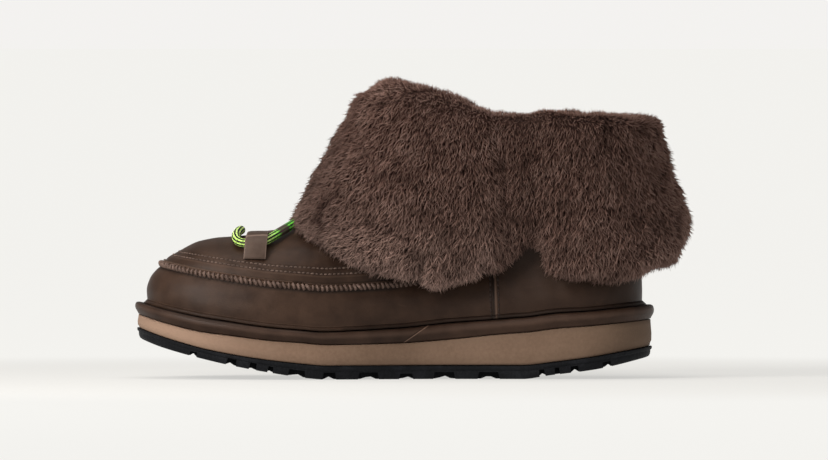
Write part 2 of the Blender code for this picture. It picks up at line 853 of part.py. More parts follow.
def keeper_strap(parts):
    grid = strap_grid()
    rows, columns = grid.shape[:2]
    faces = []
    for row in range(rows - 1):
        for column in range(columns - 1):
            first = row * columns + column
            faces.append((first, first + columns, first + columns + 1, first + 1))
    mesh = bpy.data.meshes.new("keeper_strap")
    mesh.from_pydata(grid.reshape(-1, 3).tolist(), [], faces)
    obj = finish(mesh, "keeper_strap", parts, (0.06, 0.038, 0.030), 0.45)
    shell = obj.modifiers.new("Leather", "SOLIDIFY")
    shell.thickness = STRAP_DEPTH
    shell.offset = 1


def lace_knot(share, turn, stand, side):
    x = TOE_X + share * SOLE_LENGTH
    out = LACE_DIAMETER * (0.5 + stand) + 2 * GAP
    return vamp_point(x, turn, side) + vamp_normal(x, turn, side) * out


def lace_route():
    """The whole lace: under the fur, through one side of the strap, over the crown and home."""
    rows = list(zip(*LACE.values()))
    outer = [lace_knot(*row, 1) for row in rows]
    inner = [lace_knot(*row, -1) for row in rows]
    crown = lace_knot(LACE_CROWN, 0.0, 0.0, 1)
    return catmull(np.array(outer + [crown] + inner[::-1]), 2)


def catmull(knots, count):
    """A smooth curve through the knots, with count points for each span."""
    padded = np.concatenate([[2 * knots[0] - knots[1]], knots, [2 * knots[-1] - knots[-2]]])
    points = []
    for before, start, end, after in zip(padded, padded[1:], padded[2:], padded[3:]):
        for share in np.arange(count) / count:
            points.append(
                0.5
                * (
                    2 * start
                    + (end - before) * share
                    + (2 * before - 5 * start + 4 * end - after) * share**2
                    + (3 * start - before - 3 * end + after) * share**3
                )
            )
    return np.array(points + [knots[-1]])


def lace(parts, cutters, points):
    mesh = tube_mesh("lace", points, LACE_DIAMETER / 2, cutters)
    finish(mesh, "lace", parts, (0.30, 0.45, 0.08), 0.6)


def main():
    for obj in list(bpy.data.objects):
        bpy.data.objects.remove(obj)
    parts = bpy.data.collections.new("mukluk_boot")
    cutters = bpy.data.collections.new("cutters")
    for collection in (parts, cutters):
        bpy.context.scene.collection.children.link(collection)
    outsole(parts, cutters)
    midsole(parts)
    platform_wrap(parts)
    insole(parts)
    upper(parts)
    keeper_strap(parts)
    route = lace_route()
    lace(parts, cutters, route)
    fur_cuff(parts, cutters, route)


main()
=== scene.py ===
"""Finished look of the right mukluk boot in the CAD frame: leather, wool, foam, rubber and lace."""

import json
import math

import bmesh
import bpy
import numpy as np
from mathutils import Matrix, Vector

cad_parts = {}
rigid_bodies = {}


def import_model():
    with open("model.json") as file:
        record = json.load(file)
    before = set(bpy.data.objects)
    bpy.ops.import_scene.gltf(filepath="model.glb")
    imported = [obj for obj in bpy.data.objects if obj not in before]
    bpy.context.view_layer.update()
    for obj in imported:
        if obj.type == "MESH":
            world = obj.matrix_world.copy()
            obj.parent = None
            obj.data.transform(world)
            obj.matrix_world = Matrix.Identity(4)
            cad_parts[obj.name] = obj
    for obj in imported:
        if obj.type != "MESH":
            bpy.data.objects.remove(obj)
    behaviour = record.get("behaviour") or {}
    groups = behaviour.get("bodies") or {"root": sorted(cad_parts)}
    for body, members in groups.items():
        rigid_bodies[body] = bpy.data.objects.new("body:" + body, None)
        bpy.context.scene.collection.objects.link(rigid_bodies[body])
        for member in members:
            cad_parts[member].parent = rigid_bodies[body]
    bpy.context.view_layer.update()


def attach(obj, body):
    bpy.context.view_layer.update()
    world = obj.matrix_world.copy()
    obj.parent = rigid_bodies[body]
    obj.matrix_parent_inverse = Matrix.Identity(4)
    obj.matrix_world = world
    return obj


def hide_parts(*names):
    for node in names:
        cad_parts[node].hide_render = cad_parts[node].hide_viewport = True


# Sizes of the last and of the sole, in metres
SOLE_LENGTH = 0.2666
BALL_WIDTH = 0.104
HEEL_WIDTH = 0.075
TOE_ROUND = 0.080
HEEL_ROUND = 0.037
TOE_SPRING = 0.0213
HEEL_SPRING = 0.0114
RUBBER_DEPTH = 0.0070
FOAM_DEPTH = 0.0174
WRAP_DEPTH = 0.0078
WRAP_PROUD = 0.0020
RUBBER_LIP = 0.0008
LUG_DEPTH = 0.0036
LUG_REACH = 0.013
INSOLE_DEPTH = 0.005

# Sizes of the upper
UPPER_INSET = 0.0052
LEATHER = 0.0024
WALL_HEIGHT = 0.022
TOE_LEAN = 0.0078
SIDE_LEAN = 0.0030
COLLAR_HEIGHT = 0.139
BACK_HEIGHT = 0.130
SHAFT_WIDTH = 0.084
COUNTER_TUCK = 0.0105
BEAD_PROUD = 0.0021
LAP_STEP = 0.0009

# Sizes of the fur cuff, the keeper strap and the lace
FUR_DEPTH = 0.024
FUR_RISE = 0.017
LINING_DEPTH = 0.006
LINING_DROP = 0.022
STRAP_WIDTH = 0.0115
STRAP_DEPTH = 0.0020
STRAP_SWEEP = 0.0045
LACE_DIAMETER = 0.0046

# Offset from the middle of the whole boot's width to the centre line of its heel
AXIS_OFFSET = -0.0030

# Clearance between pieces that meet
GAP = 0.0003

# Fullness of the rounded ends and of the crown, as superellipse powers
TOE_FULLNESS = 2.4
HEEL_FULLNESS = 2.2
CROWN_FULLNESS = 2.15

# Divisions of the part's rings
FRONT_COLUMNS = 15
REAR_COLUMNS = 9


def table(columns, *rows):
    """Rows of numbers as one array for each named column."""
    return dict(zip(columns.split(), np.array(rows, float).T))


# Plan of the sole: along as a share of its length, centre and ball of the ball width, heel of the heel width
OUTLINE = table(
    "along centre ball heel",
    (0, -0.06, 0.455, 0), (0.15, -0.04, 0.48, 0), (0.33, -0.004, 0.5, 0), (0.45, 0.026, 0.44, 0.02),
    (0.58, 0.042, 0.25, 0.175), (0.7, 0.02, 0.11, 0.345), (0.85, 0, 0, 0.5), (1, 0, 0, 0.485),
)

# Side of the sole: toe and heel as shares of the springs, the rest as shares of each layer's depth
LAYERS = table(
    "along toe heel rubber foam wrap",
    (0, 1, 0, 0.76, 0.4, 0.84), (0.05, 0.77, 0, 0.8, 0.43, 0.92), (0.12, 0.53, 0, 0.76, 0.48, 0.97),
    (0.19, 0.33, 0, 0.82, 0.56, 0.9), (0.26, 0.17, 0, 0.9, 0.59, 0.86), (0.33, 0.04, 0, 1, 0.63, 0.83),
    (0.37, 0, 0, 1, 0.63, 0.86), (0.51, 0, 0, 1, 0.67, 1), (0.61, 0, 0, 1, 0.78, 1.1),
    (0.7, 0, 0, 1, 0.92, 1.02), (0.75, 0, 0, 1, 0.98, 1.02), (0.8, 0, 0.16, 0.93, 1, 1.03),
    (0.89, 0, 0.43, 0.95, 0.93, 1), (1, 0, 1, 0.76, 0.8, 1),
)

# Side notches of the tread: along and wide as shares of the length, deep as a share of the lug depth
NOTCHES = table(
    "along wide deep",
    (0.11, 0.016, 0.7), (0.184, 0.021, 1), (0.226, 0.015, 1), (0.26, 0.011, 0.9), (0.311, 0.035, 1),
    (0.375, 0.027, 1), (0.451, 0.042, 1), (0.524, 0.028, 0.8), (0.598, 0.044, 1), (0.684, 0.044, 1),
    (0.789, 0.012, 1), (0.818, 0.01, 1), (0.852, 0.017, 0.9), (0.915, 0.018, 0.8),
)

# Lean of the side wall: up as a share of its height, lean as a share of the lean at the ridge
WALL = table("up lean", (0, 0.02), (0.3, -0.06), (0.6, 0.16), (0.85, 0.6), (1, 1))

# Rings of the side wall, as shares of its height
WALL_RINGS = (0.0, 0.3, 0.62, 0.9, 1.0, 1.11)

# Rings above the ridge: where each meets the front line, as shares of the length and of the collar height
FRONT_RINGS = table(
    "along up",
    (0.0605, 0.451), (0.074, 0.466), (0.0975, 0.491), (0.125, 0.514), (0.164, 0.526), (0.2105, 0.532),
    (0.257, 0.538), (0.2965, 0.554), (0.3316, 0.589), (0.364, 0.64), (0.405, 0.73), (0.456, 0.858),
    (0.505, 1),
)

# Back line: up as a share of the back height, tuck as a share of the counter's tuck above its bulge
BACK = table("up tuck", (0.28, 0.02), (0.36, 0), (0.43, 0.06), (0.58, 0.52), (0.77, 0.92), (1, 1))

# Hem of the cuff in side view: shares of the length and of the collar height; the notch is the highest row
HEM = table(
    "along up",
    (0.3, 0.61), (0.309, 0.56), (0.325, 0.515), (0.36, 0.475), (0.414, 0.416), (0.468, 0.385),
    (0.548, 0.352), (0.576, 0.318), (0.605, 0.335), (0.655, 0.362), (0.7, 0.41), (0.75, 0.47),
    (0.774, 0.492), (0.79, 0.47), (0.8, 0.4), (0.83, 0.36), (0.915, 0.352), (0.955, 0.378), (0.98, 0.432),
    (1, 0.445),
)

# Route of the lace on one side, from under the fur to the crown: along as a share of the length, round from
# the crown at 0 to the strap's foot at 1, stand as a share of the lace's diameter
LACE = table(
    "along round stand",
    (0.334, 0.22, 0.1), (0.306, 0.28, 0.1), (0.281, 0.42, 0.05), (0.262, 0.54, 0), (0.246, 0.64, 0),
    (0.226, 0.67, 0), (0.208, 0.66, 0), (0.197, 0.59, 0.05), (0.194, 0.44, 0.1), (0.198, 0.24, 0.05),
)

LACE_CROWN = 0.2025

# Places along the length, as shares of it
SEAM_ALONG = 0.698
SEAM_RAKE = -0.035
RIDGE_END = 0.48
RIDGE_FADE = 0.06
STRAP_ALONG = 0.230
STRAP_FOOT = 0.443
FUR_BACK_REACH = 1.28
CUFF_OVERHANG = FUR_BACK_REACH * FUR_DEPTH - UPPER_INSET - COUNTER_TUCK / 2
HEEL_X = (SOLE_LENGTH + WRAP_PROUD - CUFF_OVERHANG) / 2
TOE_X = HEEL_X - SOLE_LENGTH

# Divisions of the finished meshes
SIDE_STATIONS = 150
CAP_LANES = 24
SHELL_COLUMNS = 6
WALL_STEPS = 26
SEAM_BAND = 0.0125
BAND_STEP = 0.0006
VAMP_STEP = 0.0026
CORD_SIDES = 20
STITCH_SIDES = 6
WOOL_COLUMNS = 5
WOOL_STEPS = 4
OUTER_SHARE = 5.5

# Stitches, in metres
WHIP_PITCH = 0.0025
WHIP_RISE = 0.0014
WHIP_THREAD = 0.00078
WHIP_SLANT = 0.42
WHIP_ARC = 1.9
APRON_ROWS = (0.0080, 0.0113)
APRON_PITCH = 0.0023
APRON_THREAD = 0.00042
LAP_ROWS = (-0.0021, 0.0019)
LAP_PITCH = 0.0026
LAP_LOW = 0.002
LAP_HIGH = 0.076
RIDGE_SIDE = 0.80
WELT_PITCH = 0.0032
WELT_HEIGHT = 0.0013

# Wool, in metres and in locks for each square metre, and the valley between the cuff's two lobes
WOOL_INSET = 0.86
WOOL_HANG = 0.0040
WOOL_LENGTH = 0.0065
WOOL_WIDTH = 0.00086
WOOL_DENSITY = 1.6e6
WOOL_JITTER = 0.30
WOOL_CURL = 1.3
WOOL_SWIRL = 0.005
LOCK_SHAPES = 8
WOOL_SEED = 11
TUFT_RISE = 0.0011
PALE_HEM = 4.6
VALLEY_AT = 0.725
VALLEY_WIDTH = 0.025

# Relief of the leather: the bead, the puckers beside it, the channels of the apron's stitches,
# and how far and how often the rings are eased behind the lapped seam
BEAD_AT = 0.0004
BEAD_WIDTH = 0.0020
BEAD_FADE = 0.004
PUCKER_PITCH = 0.0046
PUCKER_RISE = 0.00016
PUCKER_REACH = 0.0045
PUCKER_GAP = 0.0015
CHANNEL_WIDTH = 0.0009
CHANNEL_DEPTH = 0.00025
EASE_REACH = 0.006
EASE_ROWS = 16
EASE_PASSES = 80
SEAM_REACH = 0.0030

# Butt joint of the platform's leather, the sole's trimmed toe and the taper of its notches
BUTT_X = -0.0008
BUTT_HEIGHT = 0.0213
BUTT_SLOPE = 1.44
TOE_TRIM = 0.0008
NOTCH_FOOT = 1.12
NOTCH_ROOF = 0.84

# Maroon patch and green end of the lace, and the strap's fold, as shares
LACE_PATCH = 0.112
LACE_GREEN = 0.11
FOLD_AT = 0.655

# Photograph's viewpoint
VIEW_TARGET = (0.0013, 0.0, 0.0767)
VIEW_WIDTH = 0.4306
VIEW_DISTANCE = 8.0
VIEW_RISE = 0.7

# Studio: how far its floor reaches, and the name, place, size and power of each lamp
FLOOR_REACH = 400.0
LAMPS = (
    ("key", (-0.75, -0.78, 0.55), 0.5, 12.5),
    ("fill", (1.6, -2.4, 1.0), 1.6, 4.5),
    ("top", (-0.2, -0.3, 2.6), 2.0, 34.0),
)

# Section of the finished strap from crown to foot: stand as a share of the lace's diameter
FOLD = table(
    "round stand",
    (0, 0), (0.36, 0.04), (0.46, 0.45), (0.54, 0.95), (0.6, 1.05), (0.78, 1), (0.91, 0.42), (1, 0),
)

# Body under the wool: how deep it is low and high and how high its rim stands, by column from front to back,
# then its section as the climb from hem to collar, and the section of its rim; all are shares
BODY = table(
    "round low high crest",
    (0, 0.16, 1.04, 0.82), (0.2, 0.38, 1, 0.78), (0.35, 0.68, 0.86, 0.66), (0.45, 0.82, 0.76, 0.46),
    (0.55, 0.82, 0.72, 0.18), (0.63, 0.72, 0.64, 0.03), (0.68, 0.46, 0.5, 0.02), (0.73, 0.66, 0.62, 0.1),
    (0.8, 0.84, 0.74, 0.22), (1, 1.46, 1.02, 0.25),
)

BODY_OUTER = table(
    "climb out",
    (-0.02, 0.45), (0, 0.8), (0.14, 1), (0.42, 1.05), (0.72, 0.98), (0.94, 0.92),
)

BODY_RIM = table("rise out", (0.58, 0.84), (0.94, 0.36), (0.86, -0.14), (0.3, -0.36))

# Lie of the wool by row of the cuff's section, from the hem up, over the rim, down the lining and back:
# down the boot, out from it, share covered and share of the full length
LIE = table(
    "down out cover reach",
    (1, 0.35, 1, 0.8), (1, 0.5, 1, 0.9), (1, 0.42, 1, 1), (1, 0.4, 1, 1), (1, 0.42, 1, 1),
    (1, 0.45, 1, 0.9), (1, 0.55, 1, 0.72), (0.6, 0.85, 1, 0.55), (-0.6, 0.8, 1, 0.55), (-0.9, 0.5, 1, 0.6),
    (-1, 0.4, 1, 0.6), (-1, 0.3, 1, 0.6), (-1, 0.2, 0, 0.5), (0, 0.2, 0, 0.5), (0, 0.2, 0, 0.5),
    (0, 0.2, 0, 0.5), (1, 0.2, 0, 0.5), (1, 0.2, 0.6, 0.6),
)

# Creases pressed into the leather: along and up as shares of the length and of the collar height,
# lean of the crease in turns, long and wide as shares of the length, deep as a share of the leather
CREASES = table(
    "along up lean long wide deep",
    (0.285, 0.505, 0.02, 0.07, 0.012, -0.16), (0.3, 0.48, -0.01, 0.06, 0.01, 0.12),
    (0.345, 0.455, 0.01, 0.08, 0.011, -0.13), (0.18, 0.49, 0.03, 0.05, 0.01, -0.08),
    (0.15, 0.3, 0, 0.09, 0.016, -0.1), (0.33, 0.27, -0.01, 0.12, 0.014, -0.11),
    (0.48, 0.3, 0, 0.1, 0.015, 0.1), (0.6, 0.31, 0.02, 0.07, 0.012, -0.12),
    (0.655, 0.33, 0.21, 0.04, 0.01, -0.14), (0.79, 0.34, 0.01, 0.06, 0.012, -0.12),
    (0.86, 0.3, -0.02, 0.08, 0.014, 0.1),
)


def flow(at, known, values):
    """A smooth curve through given points, continued at its end slopes."""
    at = np.asarray(at, float)
    width = np.diff(known)
    rise = np.diff(values) / width
    slope = np.empty(len(known))
    slope[0] = rise[0]
    slope[-1] = rise[-1]
    before, after = rise[:-1], rise[1:]
    same = before * after > 0
    total = np.where(same, before + after, 1.0)
    slope[1:-1] = np.where(same, 2 * before * after / total, 0.0)
    index = np.clip(np.searchsorted(known, at) - 1, 0, len(width) - 1)
    share = np.clip((at - known[index]) / width[index], 0, 1)
    start, end = values[index], values[index + 1]
    bend = share * (1 - share) * width[index]
    curve = start + (end - start) * share * share * (3 - 2 * share)
    curve = curve + bend * ((1 - share) * slope[index] - share * slope[index + 1])
    below = np.minimum(at - known[0], 0) * slope[0]
    above = np.maximum(at - known[-1], 0) * slope[-1]
    return curve + below + above


def read(curve, column, at):
    """A column of a table, as a smooth curve over its first column."""
    return flow(at, next(iter(curve.values())), curve[column])


def smooth(share):
    """0 to 1 with a soft start and end."""
    share = np.clip(share, 0, 1)
    return share * share * (3 - 2 * share)


def mix(start, end, share):
    return start + (end - start) * share


def quarter(share, power):
    """Half width of a superellipse's end, from 0 at its tip to 1."""
    return (1 - (1 - np.clip(share, 0, 1)) ** power) ** (1 / power)


def along(x):
    return (x - TOE_X) / SOLE_LENGTH


def layer(x, column):
    return read(LAYERS, column, along(x))


def tread_height(x):
    return TOE_SPRING * layer(x, "toe") + HEEL_SPRING * layer(x, "heel")


def rubber_top(x):
    return tread_height(x) + RUBBER_DEPTH * layer(x, "rubber")


def foam_top(x):
    return rubber_top(x) + FOAM_DEPTH * layer(x, "foam")


def feather(x):
    """Height of the line where the upper meets the wrapped platform."""
    return foam_top(x) + WRAP_DEPTH * layer(x, "wrap")


def plan(x):
    """Centre line and half width of the sole before its ends are rounded."""
    centre, ball, heel = (read(OUTLINE, name, np.clip(along(x), 0, 1)) for name in ("centre", "ball", "heel"))
    return centre * BALL_WIDTH, ball * BALL_WIDTH + heel * HEEL_WIDTH


def unit(vectors):
    """The vectors at a length of one."""
    return vectors / np.maximum(np.linalg.norm(vectors, axis=-1, keepdims=True), 1e-9)


def with_ends(half, x, start, end):
    """Half widths drawn in to a round toe at the start and a round heel at the end."""
    half = half * quarter((x - start) / TOE_ROUND, TOE_FULLNESS)
    return half * quarter((end - x) / HEEL_ROUND, HEEL_FULLNESS)


def outline(grow):
    """Stations (x, inner y, outer y) of the sole's plan, pushed out by grow."""
    turn = np.linspace(0, math.pi, SIDE_STATIONS)
    start, end = TOE_X + TOE_TRIM - grow, HEEL_X + grow
    x = mix(start, end, (1 - np.cos(turn)) / 2)
    centre, half = plan(x)
    half = with_ends(half + grow, x, start, end)
    centre = centre + AXIS_OFFSET
    return x, centre - half, centre + half


def back_line(z):
    """The upper's back in side view."""
    return HEEL_X - UPPER_INSET - COUNTER_TUCK * read(BACK, "tuck", z / BACK_HEIGHT)


def wall_lean(height):
    return read(WALL, "lean", np.clip(height / WALL_HEIGHT, 0, 1))


def crest_line(x):
    """Height of the upper's front line, from the ridge over the vamp and up the instep."""
    start = TOE_X + UPPER_INSET + TOE_LEAN
    known = np.append(start, TOE_X + FRONT_RINGS["along"] * SOLE_LENGTH)
    heights = np.append(feather(start) + WALL_HEIGHT, FRONT_RINGS["up"] * COLLAR_HEIGHT)
    return flow(x, known, heights)


def last_section(x, z):
    """Centre and half width of the upper's outer face at a point of its side view."""
    height = z - feather(x)
    lean = wall_lean(height)
    centre, half = plan(x)
    climb = smooth((height - WALL_HEIGHT) / (BACK_HEIGHT - 2 * WALL_HEIGHT))
    half = mix(half - UPPER_INSET - lean * SIDE_LEAN, SHAFT_WIDTH / 2, climb)
    centre = AXIS_OFFSET + centre * (1 - smooth((height - WALL_HEIGHT) / (2 * WALL_HEIGHT)))
    front = TOE_X + UPPER_INSET + lean * TOE_LEAN
    room = np.maximum(crest_line(x) - feather(x) - WALL_HEIGHT, 1e-6)
    crown = 1 - quarter_climb((height - WALL_HEIGHT) / room)
    half = half * quarter((x - front) / TOE_ROUND, TOE_FULLNESS) * crown
    return centre, half * quarter((back_line(z) - x) / HEEL_ROUND, HEEL_FULLNESS)


def quarter_climb(share):
    """How much of the half width is gone at a share of the crown's height."""
    share = np.clip(share, 0, 1)
    return 1 - (1 - share**CROWN_FULLNESS) ** (1 / CROWN_FULLNESS)


def ring_rows():
    """Front x, front height and back height above the feather line of every ring."""
    rows = []
    for up in WALL_RINGS:
        height = up * WALL_HEIGHT
        front = TOE_X + UPPER_INSET + wall_lean(height) * TOE_LEAN
        if up > 1:
            front = front + (up - 1) * TOE_LEAN / 2
            height = crest_line(front) - feather(front)
        rows.append((front, height, up * WALL_HEIGHT))
    top = BACK_HEIGHT - feather(back_line(BACK_HEIGHT))
    count = len(FRONT_RINGS["along"])
    for place, (share, up) in enumerate(zip(FRONT_RINGS["along"], FRONT_RINGS["up"]), 1):
        front = TOE_X + share * SOLE_LENGTH
        back = mix(WALL_RINGS[-1] * WALL_HEIGHT, top, place / count)
        rows.append((front, up * COLLAR_HEIGHT - feather(front), back))
    return rows


def spread(points, count):
    """Count + 1 points along a polyline: even ones, and a few close together at its end, the lapped seam."""
    steps = np.linalg.norm(np.diff(points, axis=0), axis=1)
    run = np.append(0, np.cumsum(steps))
    wanted = np.linspace(0, run[-1] - SEAM_REACH, count - 3)
    wanted = np.append(wanted, run[-1] - SEAM_REACH * np.array([0.7, 0.45, 0.2, 0.0]))
    return np.stack([np.interp(wanted, run, points[:, axis]) for axis in range(3)], axis=1)


def ring_side(front, front_height, back_height, side, columns):
    """One side of a ring from the front line to the back line, split at the lapped seam."""
    back = HEEL_X - UPPER_INSET
    for _ in range(4):
        back = back_line(feather(back) + back_height)
    share = (1 - np.cos(np.linspace(0, math.pi, 240))) / 2
    x = mix(front, back, share)
    z = feather(x) + mix(front_height, back_height, share)
    centre, half = last_section(x, z)
    half[0] = half[-1] = 0
    points = np.stack([x, centre + side * half, z], axis=1)
    past = x - seam_x(z)
    cut = int(np.argmax(past >= 0))
    share = past[cut - 1] / (past[cut - 1] - past[cut])
    seam = mix(points[cut - 1], points[cut], share)[None]
    ahead = spread(np.concatenate([points[:cut], seam]), columns[0])
    behind = spread(np.concatenate([seam, points[cut:]])[::-1], columns[1])[::-1]
    return ahead, behind


def seam_x(z):
    return TOE_X + SEAM_ALONG * SOLE_LENGTH + SEAM_RAKE * (z - feather(0.0))


def ring(row, *columns):
    """A closed ring from the front, along the outer side to the back, and home along the inner side."""
    sides = []
    for side in (1, -1):
        ahead, behind = ring_side(*row, side, columns)
        behind[0] = mix(behind[0], behind[1], LAP_STEP / 2 / np.linalg.norm(behind[1] - behind[0]))
        sides.append(np.concatenate([ahead, behind]))
    outer, inner = sides
    return np.concatenate([outer, inner[-2:0:-1]])


def lifted(height, by):
    return lambda x: height(x) + by


def blend(low, high, share):
    return lambda x: mix(low(x), high(x), share)


def operator(operation, turned=False):
    """A method of Field that adds one Math node; turned puts the field's own value last."""

    def method(self, *others):
        return self.math(operation, *((*others, self) if turned else (self, *others)))

    return method


class Field:
    """A number that changes over a surface. Its operators add Math nodes."""

    def __init__(self, nodes, socket):
        self.nodes = nodes
        self.socket = socket

    def math(self, operation, *terms):
        return self.nodes.field("ShaderNodeMath", {"operation": operation}, dict(enumerate(terms)))

    __add__ = __radd__ = operator("ADD")
    __sub__ = operator("SUBTRACT")
    __rsub__ = operator("SUBTRACT", True)
    __mul__ = __rmul__ = operator("MULTIPLY")
    __truediv__ = operator("DIVIDE")
    __mod__ = operator("FLOORED_MODULO")
    __abs__ = operator("ABSOLUTE")
    sine = operator("SINE")
    low = operator("MINIMUM")

    def ramp(self, start, end):
        """0 before start and 1 after end, smoothly; start may be the larger."""
        sockets = {"Value": self, "From Min": start, "From Max": end}
        return self.nodes.field("ShaderNodeMapRange", {"interpolation_type": "SMOOTHSTEP"}, sockets)


class Nodes:
    """A tree of nodes in the making."""

    def __init__(self, tree):
        self.tree = tree

    def add(self, kind, settings, sockets, output=0):
        """One output of a new node: its settings first, then the values or links of its sockets."""
        made = self.tree.nodes.new(kind)
        for name, value in settings.items():
            setattr(made, name, value)
        for name, value in sockets.items():
            value = getattr(value, "socket", value)
            if isinstance(value, bpy.types.NodeSocket):
                self.tree.links.new(value, made.inputs[name])
            else:
                made.inputs[name].default_value = value
        return made.outputs[output]

    def field(self, kind, settings, sockets, output=0):
        return Field(self, self.add(kind, settings, sockets, output))

    def axes(self, vector):
        made = self.add("ShaderNodeSeparateXYZ", {}, {0: vector}).node
        return [Field(self, socket) for socket in made.outputs]


class Finish(Nodes):
    """A material in the making, whose patterns are named in plain words; done() joins them to the shader."""

    def __init__(self, name, **constants):
        self.material = bpy.data.materials.new(name)
        self.material.use_nodes = True
        super().__init__(self.material.node_tree)
        self.shader = self.tree.nodes["Principled BSDF"]
        self.place = self.add("ShaderNodeTexCoord", {}, {}, "Object")
        for socket, value in constants.items():
            self.shader.inputs[socket.replace("_", " ")].default_value = value

    def stretched(self, scale):
        """Object coordinates with their own scale on each axis."""
        return self.add("ShaderNodeMapping", {}, {"Vector": self.place, "Scale": scale})

    def noise(self, size, detail=3.0, vector=None, roughness=0.55):
        """Soft noise whose lumps are about size metres across, from 0 to 1."""
        sockets = {"Vector": vector or self.place, "Scale": 1 / size}
        sockets.update(Detail=detail, Roughness=roughness)
        return self.field("ShaderNodeTexNoise", {}, sockets, "Fac")

    def cells(self, size):
        """Distance to the nearest cell's centre, in cells of about size metres."""
        sockets = {"Vector": self.place, "Scale": 1 / size}
        return self.field("ShaderNodeTexVoronoi", {"feature": "F1"}, sockets, "Distance")

    def attribute(self, name):
        return self.field("ShaderNodeAttribute", {"attribute_name": name}, {}, "Fac")

    def blend(self, share, *colours):
        """One colour over another by a share."""
        ends = [value if isinstance(value, bpy.types.NodeSocket) else (*value, 1) for value in colours]
        return self.add("ShaderNodeMix", {"data_type": "RGBA"}, {0: share, 6: ends[0], 7: ends[1]}, 2)

    def bump(self, height, distance, strength=1.0, under=None):
        sockets = {"Height": height, "Distance": distance, "Strength": strength}
        if under is not None:
            sockets["Normal"] = under
        return self.add("ShaderNodeBump", {}, sockets)

    def join(self, **ends):
        for name, value in ends.items():
            self.tree.links.new(getattr(value, "socket", value), self.shader.inputs[name.replace("_", " ")])

    def done(self, colour, roughness, normal):
        self.join(Base_Color=colour, Roughness=roughness, Normal=normal)
        return self.material


def leather(name, dark, light, worn, joint=False):
    """Smooth waxed leather: fine grain, soft mottling, painted shade in its crevices and where a piece marks
    it shaded, paler where it is worn, and painted highlights along raised edges.
    """
    made = Finish(name, Specular_IOR_Level=0.14)
    cloud = made.noise(0.045, 3.0)
    mottle = made.noise(0.009, 4.0)
    grain = made.cells(0.00075)
    pores = made.noise(0.00035, 2.0)
    scuff = made.noise(0.006, 6.0, made.stretched((0.35, 1.0, 1.5)), 0.7).ramp(0.60, 0.74)
    crevice = made.attribute("crevice")
    edge = made.attribute("edge")
    colour = made.blend((cloud * 0.7 + mottle * 0.5).ramp(0.35, 0.85), dark, light)
    colour = made.blend(grain.ramp(0.5, 0.0) * 0.22, colour, dark)
    # Painted shade: darker where the piece's shade attribute is high, on the upper towards the heel and under
    # the cuff, on the strap from its crown to the fold.
    colour = made.blend(made.attribute("shade") * 0.55, colour, dark)
    # Paler towards the worn colour where scuffed, which is wear, and along raised edges, which is a painted
    # highlight.
    colour = made.blend((scuff * 0.08 + edge * 0.75).low(1.0), colour, worn)
    # Painted shade in crevices, blended nearly to black.
    colour = made.blend(crevice.low(1.0) * 0.85, colour, (0.006, 0.004, 0.003))
    if joint:
        x, _, z = made.axes(made.place)
        across = x - (z - BUTT_HEIGHT) * BUTT_SLOPE - BUTT_X
        colour = made.blend(abs(across + 0.0006).ramp(0.0006, 0.0002), colour, dark)
        colour = made.blend(abs(across - 0.0003).ramp(0.0006, 0.0001) * 0.8, colour, worn)
    roughness = mottle * 0.16 + scuff * 0.12 + grain * 0.08 + crevice * 0.2 + 0.36
    fine = made.bump(grain * 0.6 + pores * 0.4, 0.00012, 0.55)
    normal = made.bump(mottle * 0.5 + cloud * 0.5, 0.0006, 0.35, fine)
    return made.done(colour, roughness.low(1.0), normal)


def thread(name, dark, light):
    """Waxed thread with the twist of its strands."""
    made = Finish(name, Specular_IOR_Level=0.3)
    strand = made.noise(0.0006, 2.0)
    shade = made.noise(0.008, 2.0)
    colour = made.blend((strand * 0.6 + shade * 0.6).ramp(0.35, 0.85), dark, light)
    return made.done(colour, strand * 0.2 + 0.55, made.bump(strand, 0.0002, 0.6))


def foam(name):
    """Moulded tan foam: a fine pebbled skin, a little dust, darker scuffs, painted shade along its top and
    bottom edges, and painted light that makes it paler at the toe and darker from the middle to the heel.
    """
    made = Finish(name, Specular_IOR_Level=0.25)
    pebble = made.cells(0.0011)
    cloud = made.noise(0.03, 4.0)
    speck = made.noise(0.0016, 3.0)
    streak = made.noise(0.012, 5.0, made.stretched((0.2, 1.0, 2.0)), 0.65).ramp(0.52, 0.75)
    clouded = (cloud * 0.6 + speck * 0.5).ramp(0.3, 0.85)
    colour = made.blend(clouded, (0.142, 0.086, 0.055), (0.212, 0.136, 0.092))
    colour = made.blend(streak * 0.30, colour, (0.12, 0.078, 0.055))
    x = made.axes(made.place)[0]
    # Painted light: paler towards the toe; painted shade: darker from the middle towards the heel.
    colour = made.blend(x.ramp(-0.04, -0.135) * 0.60, colour, (0.34, 0.225, 0.160))
    heelward_shade = x.ramp(-0.06, -0.01) * 0.28 + x.ramp(0.05, 0.125) * 0.38
    colour = made.blend(heelward_shade, colour, (0.090, 0.058, 0.037))
    # Painted shade along the top and bottom edges, where the foam meets the wrap and the rubber.
    colour = made.blend(made.attribute("crevice").low(1.0) * 0.8, colour, (0.03, 0.02, 0.015))
    normal = made.bump(pebble * 0.7 + speck * 0.3, 0.00018, 0.5)
    return made.done(colour, speck * 0.15 + 0.72, normal)


def rubber(name):
    """Matt black rubber with a dusty bloom and the fine ribs of its mould."""
    made = Finish(name, Specular_IOR_Level=0.14)
    dust = made.noise(0.010, 5.0)
    speck = made.noise(0.0012, 3.0)
    ribs = (made.axes(made.place)[0] * (2 * math.pi / 0.0016)).sine()
    bloom = (dust * 0.7 + speck * 0.4).ramp(0.45, 0.85)
    colour = made.blend(bloom, (0.0028, 0.0032, 0.0044), (0.0115, 0.0125, 0.0155))
    normal = made.bump(speck, 0.00025, 0.5, made.bump(ribs, 0.00006, 0.35))
    return made.done(colour, dust * 0.15 + 0.62, normal)


